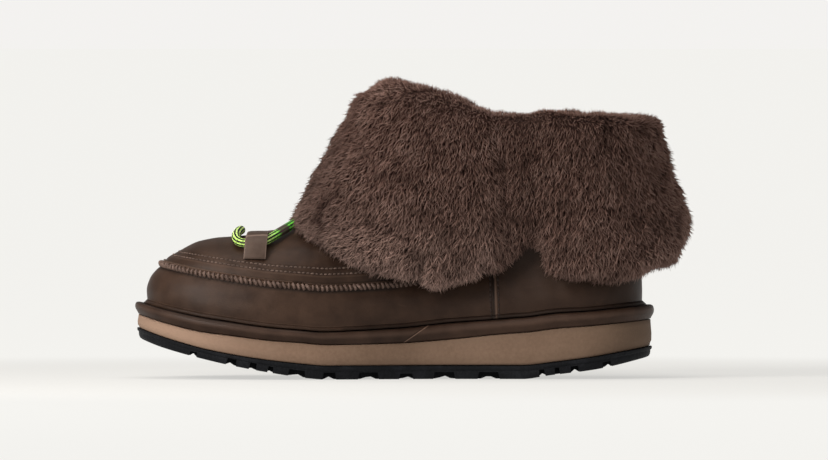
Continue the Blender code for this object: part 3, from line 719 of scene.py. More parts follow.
def wool(name, root, tip, pale):
    """Curly wool: dark at the roots, paler and greyer at the tips, each lock with its own tint, and painted
    shade towards the front and in the valley between the lobes.
    """
    made = Finish(name, Specular_IOR_Level=0.10)
    tint = made.attribute("tint")
    rise = made.attribute("rise")
    patch = made.noise(0.014, 4.0)
    fibre = made.noise(0.0008, 3.0)
    low = made.attribute("low")
    colour = made.blend((rise * 0.85 + tint * 0.35 + fibre * 0.35 - 0.22).ramp(0.05, 1.15), root, tip)
    grey = rise.ramp(0.35, 1.0) * (tint.ramp(0.25, 1.0) * 0.45 + patch.ramp(0.48, 0.70) * 0.40 + low * 0.7)
    colour = made.blend((grey + low * 0.55).low(1.0), colour, pale)
    # Painted shade: darker towards the front and in the valley between the cuff's lobes; the darker patches
    # are the wool's own mottling.
    front = made.axes(made.place)[0].ramp(-0.010, -0.050)
    dark = patch.ramp(0.50, 0.30) * 0.40 + made.attribute("valley") * 0.28 + front * 0.46
    colour = made.blend(dark.low(1.0), colour, root)
    return made.done(colour, fibre * 0.15 + 0.78, made.bump(fibre, 0.0003, 0.5))


def pile(name, dark, light):
    """Short wool pile in curls, for the footbed and for what lies under the locks."""
    made = Finish(name, Specular_IOR_Level=0.15)
    curl = made.cells(0.0028)
    fine = made.noise(0.0012, 4.0)
    patch = made.noise(0.015, 3.0)
    colour = made.blend((fine * 0.6 + curl * 0.5 + patch * 0.3 - 0.2).ramp(0.1, 0.9), dark, light)
    return made.done(colour, fine * 0.1 + 0.85, made.bump(fine * 0.6 + curl * 0.5, 0.0012, 0.9))


def braid(name):
    """Round cord: lengthwise bands of lime between black ones, each band made of short braided stitches."""
    made = Finish(name, Specular_IOR_Level=0.3)
    uv = made.add("ShaderNodeUVMap", {"uv_map": "cord"}, {})
    around, run, _ = made.axes(uv)
    band = abs((around * 8 + run * 6) % 1.0 - 0.5)
    stitch = abs((run * 420 + band * 1.2) % 1.0 - 0.5)
    lime = band.ramp(0.22, 0.27)
    gap = stitch.ramp(0.10, 0.02)
    shade = made.noise(0.010, 3.0)
    hue = made.blend(shade.ramp(0.35, 0.65), (0.50, 0.76, 0.16), (0.68, 0.90, 0.30))
    hue = made.blend(made.attribute("green"), hue, (0.13, 0.62, 0.045))
    colour = made.blend((lime * (1 - gap * 0.7)).low(1.0), (0.010, 0.012, 0.010), hue)
    patch = made.attribute("patch")
    colour = made.blend(patch.ramp(0.2, 0.6) * 0.9, colour, (0.060, 0.022, 0.034))
    normal = made.bump(lime * 0.5 + (1 - gap) * 0.5, 0.00045, 0.8)
    return made.done(colour, 0.62 + shade * 0.1, normal)


def put(name, data):
    """An object in the scene."""
    obj = bpy.data.objects.new(name, data)
    bpy.context.scene.collection.objects.link(obj)
    return obj


def piece(mesh, name, material, slot, *nodes):
    """A finished piece of the boot, riding on its one body."""
    obj = put(name, mesh)
    mesh.materials.clear()
    mesh.materials.append(material)
    mesh.shade_smooth()
    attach(obj, "root")
    if nodes:
        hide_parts(*nodes)


def taken(obj, name):
    """The evaluated mesh of a working object, which is then removed."""
    bpy.context.view_layer.update()
    graph = bpy.context.evaluated_depsgraph_get()
    mesh = bpy.data.meshes.new_from_object(obj.evaluated_get(graph))
    mesh.name = name
    bpy.data.objects.remove(obj)
    return mesh


def give(mesh, name, values, kind="FLOAT"):
    """Stores one number or one vector for each point of the mesh."""
    attribute = mesh.attributes.new(name, kind, "POINT")
    field = "value" if kind == "FLOAT" else "vector"
    attribute.data.foreach_set(field, np.asarray(values, np.float32).ravel())


def quads(grid, closed_up=False):
    """Faces over closed rings of points."""
    rows, columns = grid.shape[:2]
    row = np.arange(rows if closed_up else rows - 1)[:, None]
    column = np.arange(columns)[None, :]
    above = (row + 1) % rows
    beside = (column + 1) % columns
    corners = [(row, column), (above, column), (above, beside), (row, beside)]
    return np.stack([first * columns + second for first, second in corners], axis=-1).reshape(-1, 4).tolist()


def mesh_of(name, points, faces):
    mesh = bpy.data.meshes.new(name)
    mesh.from_pydata(np.asarray(points).reshape(-1, 3).tolist(), [], faces)
    return mesh


def with_modifier(mesh, name, kind, **settings):
    """The mesh with a modifier applied."""
    obj = put(name + "_work", mesh)
    modifier = obj.modifiers.new(kind, kind)
    for setting, value in settings.items():
        setattr(modifier, setting, value)
    return taken(obj, name)


def lumps(points, size, seed):
    """Smooth hand-made noise from a few sine waves, from -1 to 1."""
    rng = np.random.default_rng(seed)
    total = np.zeros(points.shape[:-1])
    for _ in range(6):
        wave = rng.normal(size=3)
        wave = unit(wave) * 2 * math.pi / (size * rng.uniform(0.7, 1.5))
        total += np.sin(points @ wave + rng.uniform(0, 2 * math.pi))
    return total / 3


def hump(distance, width):
    """A soft hump that is 1 at no distance and 0 from the width on."""
    return smooth(1 - np.abs(distance) / width)


def shell_rows():
    """Rings of the finished upper, close together round the moccasin seam."""
    rows = []
    for up in (1 - np.cos(np.linspace(0, math.pi, WALL_STEPS)[:-1])) / 2:
        height = up * WALL_HEIGHT
        rows.append((TOE_X + UPPER_INSET + wall_lean(height) * TOE_LEAN, height, height))
    known_x, _, known_back = np.array(ring_rows()[len(WALL_RINGS) - 2 :], float).T
    fine = np.linspace(known_x[0], known_x[-1], 600)
    rise = crest_line(fine)
    run = np.append(0, np.cumsum(np.hypot(np.diff(fine), np.diff(rise))))
    steps = np.append(np.arange(0, SEAM_BAND, BAND_STEP), np.arange(SEAM_BAND, run[-1], VAMP_STEP))
    for x in np.interp(np.append(steps, run[-1]), run, fine):
        rows.append((x, crest_line(x) - feather(x), float(flow(x, known_x, known_back))))
    return rows


def normals_over(points, up):
    """Normals over closed rings of points, from the way up at each."""
    return unit(np.cross(up, np.roll(points, -1, axis=1) - np.roll(points, 1, axis=1)))


def shell_grid():
    """Points and normals of the upper's outer face, and each point's distance up from the moccasin seam."""
    columns = SHELL_COLUMNS * FRONT_COLUMNS, SHELL_COLUMNS * REAR_COLUMNS
    points = np.array([ring(row, *columns) for row in shell_rows()])
    rows = np.arange(len(points))[:, None]
    behind = smooth((points[:, :, 0] - seam_x(points[:, :, 2])) / EASE_REACH)
    eased = behind * hump(rows - WALL_STEPS + 1, EASE_ROWS)
    for _ in range(EASE_PASSES):
        points[1:-1] += 0.4 * eased[1:-1, :, None] * (points[:-2] + points[2:] - 2 * points[1:-1])
    normals = normals_over(points, np.gradient(points, axis=0))
    steps = np.linalg.norm(np.diff(points, axis=0), axis=2)
    run = np.concatenate([np.zeros((1, points.shape[1])), np.cumsum(steps, axis=0)])
    return points, normals, run - run[WALL_STEPS - 1]


def path_at(points, normals, run, height, columns):
    """Points and normals at one distance from the moccasin seam, for a range of columns."""
    spots = []
    for column in columns:
        row = np.interp(height, run[:, column], np.arange(len(run)))
        low = min(int(row), len(run) - 2)
        spots.append([mix(grid[low, column], grid[low + 1, column], row - low) for grid in (points, normals)])
    spots = np.array(spots)
    return spots[:, 0], spots[:, 1]


def beside_seam(points, normals, shift, side):
    """Points and normals up one side at one distance behind the lapped seam, from the welt to the cuff."""
    count = points.shape[1]
    columns = np.arange(count // 2) if side > 0 else count - 1 - np.arange(count // 2)
    spots = []
    for line, turn in zip(points[:, columns], normals[:, columns]):
        past = line[:, 0] - seam_x(line[:, 2])
        spot = [[np.interp(shift, past, grid[:, axis]) for axis in range(3)] for grid in (line, turn)]
        if LAP_LOW < spot[0][2] - feather(spot[0][0]) and spot[0][2] < LAP_HIGH:
            spots.append(spot)
    spots = np.array(spots)
    return spots[:, 0], spots[:, 1]


def upper_piece(skin_leather):
    """The leather upper with its bead, lapped seams, puckers, stitch channels and creases."""
    points, normals, run = shell_grid()
    share = along(points[:, :, 0])
    past_seam = points[:, :, 0] - seam_x(points[:, :, 2])
    fade = (1 - smooth((share - RIDGE_END) / RIDGE_FADE)) * smooth(-past_seam / BEAD_FADE)
    out = 0.62 * BEAD_PROUD * fade * hump(run - BEAD_AT, BEAD_WIDTH)
    ridge = points[WALL_STEPS - 1]
    around = np.cumsum(np.linalg.norm(np.diff(ridge, axis=0, prepend=ridge[:1]), axis=1))
    pucker = np.sin(around * 2 * math.pi / PUCKER_PITCH + 1.5 * np.sin(around * 90))[None, :]
    out += PUCKER_RISE * pucker * fade * np.exp(-np.abs(run) / PUCKER_REACH) * (np.abs(run) > PUCKER_GAP)
    channels = sum(hump(run - row, CHANNEL_WIDTH) for row in APRON_ROWS) * fade
    out -= CHANNEL_DEPTH * channels
    out += LAP_STEP * (past_seam > -1e-5)
    for row in zip(*CREASES.values()):
        out += crease(points, *row)
    out += 0.00022 * lumps(points, 0.035, 3) + 0.00010 * lumps(points, 0.012, 4)
    grid = points + normals * out[:, :, None]
    grid[0, :, 2] += GAP
    mesh = mesh_of("upper_leather", grid, quads(grid))
    up = run - run[0]
    # Painted shade in crevices: under and over the bead, in front of the lapped seam, along the welt, in the
    # apron's stitch channels and along the seam's stitch rows.
    under = hump(run + 0.0019, 0.0013) * fade
    over = hump(run - 0.0026, 0.0008) * fade * 0.5
    seam = hump(past_seam + 0.0007, 0.0012)
    floor = hump(up, 0.0011) * (0.60 - 0.35 * (share < 0.40))
    sides = sum(hump(past_seam - row, 0.0007) for row in LAP_ROWS) * 0.5
    give(mesh, "crevice", np.clip(under + over + seam + floor + channels * 0.5 + sides, 0, 1))
    # Painted shade: darker from the ball towards the heel, and more over the counter behind the lapped seam.
    give(mesh, "shade", 0.75 * smooth((share - 0.30) / 0.30) + 0.25 * smooth((share - SEAM_ALONG) / 0.02))
    # Pale raised edges, blended to the worn colour: a painted highlight on the lapped seam's lip and along
    # the bead, and pale lines above the welt and beside the first apron row.
    lip = hump(up - 0.0019, 0.0007) * (0.25 + 0.75 * (share < 0.42)) * (share < 0.62)
    edge = 0.7 * hump(past_seam - 0.0006, 0.0008) + 0.5 * fade * hump(run - BEAD_AT, 0.0016) + 0.45 * lip
    give(mesh, "edge", edge + 0.25 * fade * hump(run - APRON_ROWS[0] + 0.0014, 0.0008))
    mesh = with_modifier(mesh, "upper_leather", "SOLIDIFY", thickness=LEATHER, offset=-1)
    piece(mesh, "upper_leather", skin_leather, "leather", "upper")
    return points + normals * out[:, :, None], normals, run


def crease(points, along_at, up_at, lean, long, wide, deep):
    """One soft trough or ridge in side view, the same on both sides."""
    x = points[:, :, 0] - (TOE_X + along_at * SOLE_LENGTH)
    z = points[:, :, 2] - up_at * COLLAR_HEIGHT
    turn = lean * 2 * math.pi
    ahead = (x * math.cos(turn) + z * math.sin(turn)) / (long * SOLE_LENGTH)
    across = (z * math.cos(turn) - x * math.sin(turn)) / (wide * SOLE_LENGTH)
    return deep * LEATHER * np.exp(-(ahead**2) - across**2)


class Growth(Nodes):
    """A tree of geometry nodes in the making, with named inputs for its sizes."""

    def __init__(self, name, **inputs):
        super().__init__(bpy.data.node_groups.new(name, "GeometryNodeTree"))
        for word, kind in inputs.items():
            self.tree.interface.new_socket(word, in_out="INPUT", socket_type="NodeSocket" + kind)
        self.tree.interface.new_socket("Made", in_out="OUTPUT", socket_type="NodeSocketGeometry")
        self.given = self.tree.nodes.new("NodeGroupInput").outputs

    def attribute(self, name, kind="FLOAT"):
        return self.add("GeometryNodeInputNamedAttribute", {"data_type": kind}, {"Name": name})

    def math(self, operation, *terms):
        return self.add("ShaderNodeMath", {"operation": operation}, dict(enumerate(terms)))

    def sum(self, first, second):
        return self.add("ShaderNodeVectorMath", {"operation": "ADD"}, {0: first, 1: second})

    def scaled(self, vector, scale):
        return self.add("ShaderNodeVectorMath", {"operation": "SCALE"}, {0: vector, "Scale": scale})

    def chance(self, low=0.0, high=1.0):
        """A random number for each spot, or a random vector between two vectors."""
        vector = isinstance(low, tuple)
        sockets = {"Min": low, "Max": high, "Seed": self.given["Seed"]}
        settings = {"data_type": "FLOAT_VECTOR" if vector else "FLOAT"}
        return self.add("FunctionNodeRandomValue", settings, sockets, 0 if vector else 1)

    def aligned(self, vector, **settings):
        return self.add("FunctionNodeAlignRotationToVector", settings, {"Vector": vector})

    def turned(self, rotation, angle):
        """A rotation followed by a turn about its own upright axis."""
        turn = self.add("FunctionNodeAxisAngleToRotation", {}, {"Axis": (0.0, 0.0, 1.0), "Angle": angle})
        sockets = {"Rotation": rotation, "Rotate By": turn}
        return self.add("FunctionNodeRotateRotation", {"rotation_space": "LOCAL"}, sockets)

    def done(self, placed, material):
        """The tree, ended by real copies in their material."""
        real = self.add("GeometryNodeRealizeInstances", {}, {0: placed})
        made = self.add("GeometryNodeSetMaterial", {}, {"Geometry": real, "Material": material})
        self.tree.links.new(made, self.tree.nodes.new("NodeGroupOutput").inputs[0])
        return self.tree


def stitch_tree():
    """Stitches set along a path of edges that carries the surface's normal as out."""
    sizes = {"Pitch": "Float", "Slant": "Float", "Spread": "Float"}
    made = Growth("stitches", Path="Geometry", Stitch="Object", **sizes, Seed="Int", Thread="Material")
    given = made.given
    curve = made.add("GeometryNodeMeshToCurve", {}, {"Mesh": given["Path"]})
    sockets = {"Curve": curve, "Length": given["Pitch"]}
    spots = made.add("GeometryNodeResampleCurve", {"mode": "LENGTH"}, sockets)
    upright = made.aligned(made.attribute("out", "FLOAT_VECTOR"), axis="Z")
    sockets = {"Rotation": upright, "Vector": made.add("GeometryNodeInputTangent", {}, {})}
    ahead = made.add("FunctionNodeAlignRotationToVector", {"axis": "X", "pivot_axis": "Z"}, sockets)
    angle = made.math("MULTIPLY_ADD", made.chance(-1.0, 1.0), given["Spread"], given["Slant"])
    sockets = {
        "Points": spots,
        "Instance": made.add("GeometryNodeObjectInfo", {}, {"Object": given["Stitch"]}, "Geometry"),
        "Rotation": made.turned(ahead, angle),
        "Scale": made.chance(0.82, 1.16),
    }
    return made.done(made.add("GeometryNodeInstanceOnPoints", {}, sockets), given["Thread"])


def grown(obj, tree, inputs):
    """The plain mesh that a tree of geometry nodes makes on a working object."""
    name = obj.name
    modifier = obj.modifiers.new(name, "NODES")
    modifier.node_group = tree
    for item in tree.interface.items_tree:
        if item.in_out == "INPUT" and item.name in inputs:
            modifier[item.identifier] = inputs[item.name]
    return taken(obj, name)


def path_object(name, spots, outs):
    """A working object of edges through the spots, with the surface's normal at each."""
    mesh = bpy.data.meshes.new(name)
    edges = [(place, place + 1) for place in range(len(spots) - 1)]
    mesh.from_pydata(np.asarray(spots).tolist(), edges, [])
    give(mesh, "out", outs, "FLOAT_VECTOR")
    return put(name, mesh)


def stitch_shape(name, points, radius):
    """One stitch as a small closed tube."""
    return put(name, tube(name, np.asarray(points, float), radius, STITCH_SIDES, taper=0.75)[0])


def tube(name, points, radius, sides, taper=1.0):
    """A closed round tube with a UV map named cord, around and along; its frames turn as little as can be."""
    ahead = unit(np.gradient(points, axis=0))
    start = np.cross(ahead[0], (0.0, 0.0, 1.0))
    if np.linalg.norm(start) < 0.1:
        start = np.cross(ahead[0], (1.0, 0.0, 0.0))
    frames = [unit(start)]
    for direction in ahead[1:]:
        frames.append(unit(frames[-1] - direction * (frames[-1] @ direction)))
    frames = np.array(frames)
    across = np.cross(ahead, frames)
    turn = np.linspace(0, 2 * math.pi, sides, endpoint=False)
    size = np.full(len(points), radius)
    size[0] = size[-1] = radius * taper
    ring_at = np.cos(turn)[None, :, None] * frames[:, None] + np.sin(turn)[None, :, None] * across[:, None]
    grid = points[:, None] + ring_at * size[:, None, None]
    faces = quads(grid)
    count = len(points) * sides
    for ring_start, centre in ((0, count), (count - sides, count + 1)):
        for side in range(sides):
            corners = [ring_start + side, ring_start + (side + 1) % sides, centre]
            faces.append(corners if ring_start == 0 else corners[::-1])
    mesh = mesh_of(name, np.concatenate([grid.reshape(-1, 3), points[:1], points[-1:]]), faces)
    mesh.flip_normals()
    run = np.append(0, np.cumsum(np.linalg.norm(np.diff(points, axis=0), axis=1)))
    layer_uv = mesh.uv_layers.new(name="cord")
    for polygon in mesh.polygons:
        lanes = [mesh.loops[loop].vertex_index % sides for loop in polygon.loop_indices]
        wraps = max(lanes) - min(lanes) > sides / 2
        for loop, lane in zip(polygon.loop_indices, lanes):
            vertex = mesh.loops[loop].vertex_index
            row = min(vertex // sides, len(points) - 1) if vertex < count else (0 if vertex == count else -1)
            lane = lane + sides if wraps and lane < sides / 2 else lane
            layer_uv.data[loop].uv = (lane / sides, run[row])
    return mesh, run


def stitches(points, normals, run, whip_thread, seam_thread, dark_thread):
    """Whip stitches over the bead, two rows on the apron, the seams' rows and the row along the welt."""
    tree = stitch_tree()
    arc = np.linspace(-WHIP_ARC, WHIP_ARC, 9)
    loop = [(0.0, math.sin(turn) * WHIP_RISE * 0.88, (math.cos(turn) - 0.62) * WHIP_RISE) for turn in arc]
    whip = stitch_shape("whip_stitch", loop, WHIP_THREAD)
    dash = [(reach * APRON_PITCH * 0.36, 0, 0.00012 - 0.0004 * reach**2) for reach in np.linspace(-1, 1, 5)]
    flat = stitch_shape("flat_stitch", dash, APRON_THREAD)
    count = points.shape[1]
    side = int(SHELL_COLUMNS * FRONT_COLUMNS * RIDGE_SIDE)
    front = [column % count for column in range(-side, side + 1)]
    path = path_at(points, normals, run, BEAD_AT, front)
    rows = [("whip_stitching", path, whip, WHIP_PITCH, WHIP_SLANT, 0.45, whip_thread)]
    for place, height in enumerate(APRON_ROWS, 1):
        path = path_at(points, normals, run, height, front)
        rows.append((f"apron_stitching_{place}", path, flat, APRON_PITCH, 0.06, 0.10, seam_thread))
    path = path_at(points, normals, run, run[0, 0] + WELT_HEIGHT, [*range(count), 0])
    rows.append(("welt_stitching", path, flat, WELT_PITCH, 0.0, 0.08, dark_thread))
    for place, shift in enumerate(LAP_ROWS, 1):
        for word, side in (("outer", 1), ("inner", -1)):
            path = beside_seam(points, normals, shift, side)
            rows.append((f"seam_stitching_{word}_{place}", path, flat, LAP_PITCH, 0.0, 0.1, dark_thread))
    words = ("Stitch", "Pitch", "Slant", "Spread", "Thread", "Seed")
    for number, (name, path, *values) in enumerate(rows):
        mesh = grown(path_object(name, *path), tree, dict(zip(words, [*values, number])))
        piece(mesh, name, values[-1], "leather")
    for shape in (whip, flat):
        bpy.data.objects.remove(shape)


def slab(name, profile, under=None):
    """A slab over the sole's plan, gridded across: its side is a list of (grow, height)."""
    loops = []
    for grow, height in profile:
        x, inner, outer = outline(grow)
        right, left = (np.stack([x, y, height(x)], axis=1) for y in (outer, inner))
        loops.append(np.concatenate([right, left[-2:0:-1]]))
    loops = np.array(loops)
    rows, count = loops.shape[:2]
    points = [loops.reshape(-1, 3)]
    faces = quads(loops)
    total = rows * count
    for place, flip in ((0, False), (rows - 1, True)):
        start = place * count
        lines = [[start]]
        for station in range(1, SIDE_STATIONS - 1):
            share = np.linspace(0, 1, CAP_LANES + 1)[1:-1, None]
            lanes = mix(loops[place, station], loops[place, count - station], share)
            if under is not None and not flip:
                lanes = under(lanes)
            points.append(lanes)
            lines.append([start + station, *range(total, total + CAP_LANES - 1), start + count - station])
            total += CAP_LANES - 1
        lines.append([start + SIDE_STATIONS - 1])
        for near, far in zip(lines, lines[1:]):
            for lane in range(CAP_LANES):
                corners = [near[min(lane, len(near) - 1)], far[min(lane, len(far) - 1)]]
                corners += [far[min(lane + 1, len(far) - 1)], near[min(lane + 1, len(near) - 1)]]
                corners = list(dict.fromkeys(corners))
                faces.append(corners if flip else corners[::-1])
    mesh = mesh_of(name, np.concatenate(points), faces)
    turned = bmesh.new()
    turned.from_mesh(mesh)
    bmesh.ops.recalc_face_normals(turned, faces=turned.faces)
    turned.to_mesh(mesh)
    turned.free()
    return mesh


def tread(points):
    """Fine grooves moulded into the tread, between its lugs."""
    share = along(points[:, 0])
    groove = sum(hump(share - at, 0.35 * wide) for at, wide in zip(NOTCHES["along"], NOTCHES["wide"]))
    points[:, 2] += 0.4 * LUG_DEPTH * np.minimum(groove, 1)
    return points


def side_of(low, high, *rows):
    """Rings of a slab's side between two heights, from rows of (grow, share of the way up)."""
    return [(grow, blend(low, high, share)) for grow, share in rows]


def flat_of(height, lift, *grows):
    """Rings of a slab's flat face, one for each grow."""
    return [(grow, lifted(height, lift)) for grow in grows]


def outsole_piece(black_rubber):
    """Rocker outsole with trapezoid notches along its edges, a lip and shallow grooves across its tread."""
    lip = RUBBER_LIP
    profile = [(-0.0016, tread_height)]
    profile += flat_of(tread_height, 0.0003, -0.0007) + flat_of(tread_height, 0.0012, -0.0002)
    side = (0.0, 0.40), (0.0, 0.60), (0.8 * lip, 0.68), (lip, 0.76), (lip, 0.92)
    profile += side_of(tread_height, rubber_top, *side)
    profile += flat_of(rubber_top, -GAP / 2, 0.5 * lip, -0.0004)
    mesh = slab("rubber_outsole", profile, tread)
    cutter = bmesh.new()
    for share, wide, deep in zip(NOTCHES["along"], NOTCHES["wide"], NOTCHES["deep"]):
        x = TOE_X + share * SOLE_LENGTH
        width = wide * SOLE_LENGTH
        slope = math.atan2(tread_height(x + width / 2) - tread_height(x - width / 2), width)
        centre, half = plan(x)
        half = with_ends(half, x, TOE_X, HEEL_X)
        for side in (-1, 1):
            place = Vector((x, AXIS_OFFSET + centre + side * half, float(tread_height(x))))
            size = Matrix.Diagonal((width, 2 * LUG_REACH, 2 * deep * LUG_DEPTH, 1))
            made = bmesh.ops.create_cube(cutter, matrix=Matrix())["verts"]
            for vert in made:
                vert.co.x *= NOTCH_FOOT if vert.co.z < 0 else NOTCH_ROOF
            turn = Matrix.Translation(place) @ Matrix.Rotation(-slope, 4, "Y") @ size
            bmesh.ops.transform(cutter, matrix=turn, verts=made)
    notches = put("notch_cutter", bpy.data.meshes.new("notch_cutter"))
    cutter.to_mesh(notches.data)
    cutter.free()
    cut = {"operation": "DIFFERENCE", "object": notches, "solver": "EXACT"}
    mesh = with_modifier(mesh, "rubber_outsole", "BOOLEAN", **cut)
    bpy.data.objects.remove(notches)
    piece(mesh, "rubber_outsole", black_rubber, "outsole_rubber", "outsole")
    mesh.set_sharp_from_angle(angle=math.radians(38))


def rounded(low, high, grow, proud, start, end, count):
    """Rings of a rounded side between two heights: grow at its edges and proud more at its middle."""
    shares = np.linspace(start, end, count)
    bulge = np.sqrt(np.clip(1 - (2 * (shares - start) / (end - start) - 1) ** 2, 0, 1))
    return side_of(low, high, *zip(grow + proud * bulge, shares))


def rise_on(mesh, low, high):
    """Each point of a slab, and its share of the way up from low to high."""
    place = np.empty(len(mesh.vertices) * 3)
    mesh.vertices.foreach_get("co", place)
    place = place.reshape(-1, 3)
    bottom = low(place[:, 0])
    return place, (place[:, 2] - bottom) / (high(place[:, 0]) - bottom)


def midsole_piece(tan_foam):
    """The foam platform, a little proud at its middle, with painted shade at both edges."""
    side = ((-0.0002, 0.04), (-0.0002, 0.10), (0.0005, 0.2), (0.0006, 0.45), (0.0002, 0.8), (0.0001, 0.97))
    profile = flat_of(rubber_top, GAP / 2, -0.0030, -0.0008) + side_of(rubber_top, foam_top, *side)
    mesh = slab("foam_midsole", profile + flat_of(foam_top, -GAP / 2, -0.0002, -0.0030))
    _, rise = rise_on(mesh, rubber_top, foam_top)
    # Painted shade where the foam meets the rubber below and the wrap above.
    edges = 0.6 * smooth((0.08 - rise) / 0.08) + 0.5 * smooth((rise - 0.95) / 0.05)
    give(mesh, "crevice", np.clip(edges, 0, 1))
    piece(mesh, "foam_midsole", tan_foam, "midsole_foam", "midsole")


def wrap_piece(rolled_leather):
    """The rolled leather edge of the platform, with its butt joint on both sides."""
    profile = flat_of(foam_top, GAP / 2, -0.0060, -0.0010)
    profile += side_of(foam_top, feather, (0.0002, 0.03), (0.0005, 0.12))
    profile += rounded(foam_top, feather, 0.0001, WRAP_PROUD - 0.0002, 0.20, 0.95, 14)[2:]
    mesh = slab("wrapped_platform", profile + flat_of(feather, -GAP, -0.0022, -0.0060))
    place, rise = rise_on(mesh, foam_top, feather)
    sway = 0.00020 * lumps(place, 0.030, 8)
    place[:, 1] += np.sign(place[:, 1]) * sway * (rise > 0.05) * (rise < 0.95)
    mesh.vertices.foreach_set("co", place.ravel())
    # Painted shade in the crevices against the foam below and the upper above.
    give(mesh, "crevice", np.clip(0.4 * smooth((0.06 - rise) / 0.06) + smooth((rise - 0.90) / 0.08), 0, 1))
    # Painted highlight along the middle of the rolled bead.
    give(mesh, "edge", 0.16 * hump(rise - 0.62, 0.25))
    piece(mesh, "wrapped_platform", rolled_leather, "leather", "platform_wrap")


def insole_piece(short_pile):
    """The footbed, just inside the upper."""
    inset = -(UPPER_INSET + LEATHER + 3 * GAP)
    profile = flat_of(feather, GAP / 2, inset - 0.004, inset)
    profile += [(inset, lifted(feather, share * INSOLE_DEPTH)) for share in (0.3, 0.7)]
    profile += flat_of(feather, 0.92 * INSOLE_DEPTH, inset - 0.0006)
    profile += flat_of(feather, INSOLE_DEPTH, inset - 0.0018, inset - 0.008)
    piece(slab("wool_insole", profile), "wool_insole", short_pile, "insole_wool", "insole")


def vamp_point(x, share, side):
    """A point of the upper's cross-section at x, from its crown at 0 to the strap's foot at 1."""
    top = float(crest_line(x))
    z = mix(STRAP_FOOT * COLLAR_HEIGHT, top, math.cos(share * math.pi / 2))
    centre, half = last_section(np.array([x]), np.array([z]))
    return np.array([x, centre[0] + side * half[0] * (share > 0), z])


def vamp_normal(x, share, side):
    """The way out of the upper at a point of its cross-section."""
    step = 1e-3
    forward = vamp_point(x - step, share, side) - vamp_point(x + step, share, side)
    down = vamp_point(x, share + step, side) - vamp_point(x, max(share - step, 0), side)
    return unit(np.cross(down, forward) * side)


def above_vamp(x, turn, side, out):
    """A point that stands out from the upper."""
    return vamp_point(x, turn, side) + vamp_normal(x, turn, side) * out


def strap_piece(strap_leather):
    """The keeper strap as a folded band: a closed rounded section carried from foot to foot."""
    turn = np.linspace(0, 2 * math.pi, 24, endpoint=False)
    across = np.sign(np.cos(turn)) * np.abs(np.cos(turn)) ** 0.35 * 0.5
    rise = 0.5 + np.sign(np.sin(turn)) * np.abs(np.sin(turn)) ** 0.7 * 0.5
    rings = []
    for share in np.linspace(-1, 1, 61):
        side = math.copysign(1, share)
        middle = TOE_X + STRAP_ALONG * SOLE_LENGTH + STRAP_SWEEP * (1 - abs(share))
        stand = float(read(FOLD, "stand", abs(share))) * (LACE_DIAMETER + 2 * GAP)
        section = []
        for offset, up in zip(across, rise):
            out = stand + 1.5 * GAP + up * 0.6 * STRAP_DEPTH
            section.append(above_vamp(middle + offset * STRAP_WIDTH, abs(share), side, out))
        rings.append(section)
    rings = catmull(np.array(rings), 2)
    rings = rings + 0.00015 * lumps(rings, 0.010, 5)[:, :, None]
    count, sides = rings.shape[:2]
    faces = quads(rings)
    faces.append(list(range(sides)))
    faces.append(list(range((count - 1) * sides, count * sides))[::-1])
    mesh = mesh_of("folded_strap", rings, faces)
    mesh.flip_normals()
    # Paler along the long edges of its outer face, and a painted highlight along the fold.
    edge = np.abs(np.abs(across) - 0.5) < 0.035
    share = np.abs(np.linspace(-1, 1, count))
    bend = hump(share - FOLD_AT, 0.022)[:, None] * (rise > 0.6)
    give(mesh, "edge", np.maximum(edge * (rise > 0.55) * 0.55, bend))
    # Painted shade over the top band, from the crown to the fold.
    give(mesh, "shade", np.repeat(0.8 * smooth((FOLD_AT - share) / 0.03), sides))
    # Painted shade on the face that lies against the vamp.
    give(mesh, "crevice", np.tile(0.5 * (rise < 0.3), count))
    piece(mesh, "folded_strap", strap_leather, "leather", "keeper_strap")


def lace_knot(share, turn, stand, side):
    """One knot of the lace's route."""
    return above_vamp(TOE_X + share * SOLE_LENGTH, turn, side, LACE_DIAMETER * (0.5 + stand) + 2 * GAP)


def catmull(knots, count):
    """A smooth curve through the knots, with count points for each span."""
    padded = np.concatenate([[2 * knots[0] - knots[1]], knots, [2 * knots[-1] - knots[-2]]])
    points = []
    for before, start, end, after in zip(padded, padded[1:], padded[2:], padded[3:]):
        for share in np.arange(count) / count:
            straight = 2 * start + (end - before) * share
            bend = (2 * before - 5 * start + 4 * end - after) * share**2
            points.append(0.5 * (straight + bend + (3 * start - before - 3 * end + after) * share**3))
    return np.array(points + [knots[-1]])


def lace_piece(cord):
    """One round braided cord under the fur, through both sides of the strap and over the crown."""
    rows = list(zip(*LACE.values()))
    outer, inner = ([lace_knot(*row, side) for row in rows] for side in (1, -1))
    crown = lace_knot(LACE_CROWN, 0.0, 0.0, 1)
    points = catmull(np.array(outer + [crown] + inner[::-1]), 12)
    mesh, run = tube("braided_lace", points, LACE_DIAMETER / 2, CORD_SIDES)
    worn = hump(run - LACE_PATCH * run[-1], 0.006) + hump(run - (1 - LACE_PATCH) * run[-1], 0.006)
    rear = 1 - smooth(np.minimum(run, run[-1] - run) / run[-1] / LACE_GREEN - 1)
    give(mesh, "patch", np.append(np.repeat(worn, CORD_SIDES), (0.0, 0.0)))
    give(mesh, "green", np.append(np.repeat(rear, CORD_SIDES), (1.0, 1.0)))
    piece(mesh, "braided_lace", cord, "lace_cord", "lace")


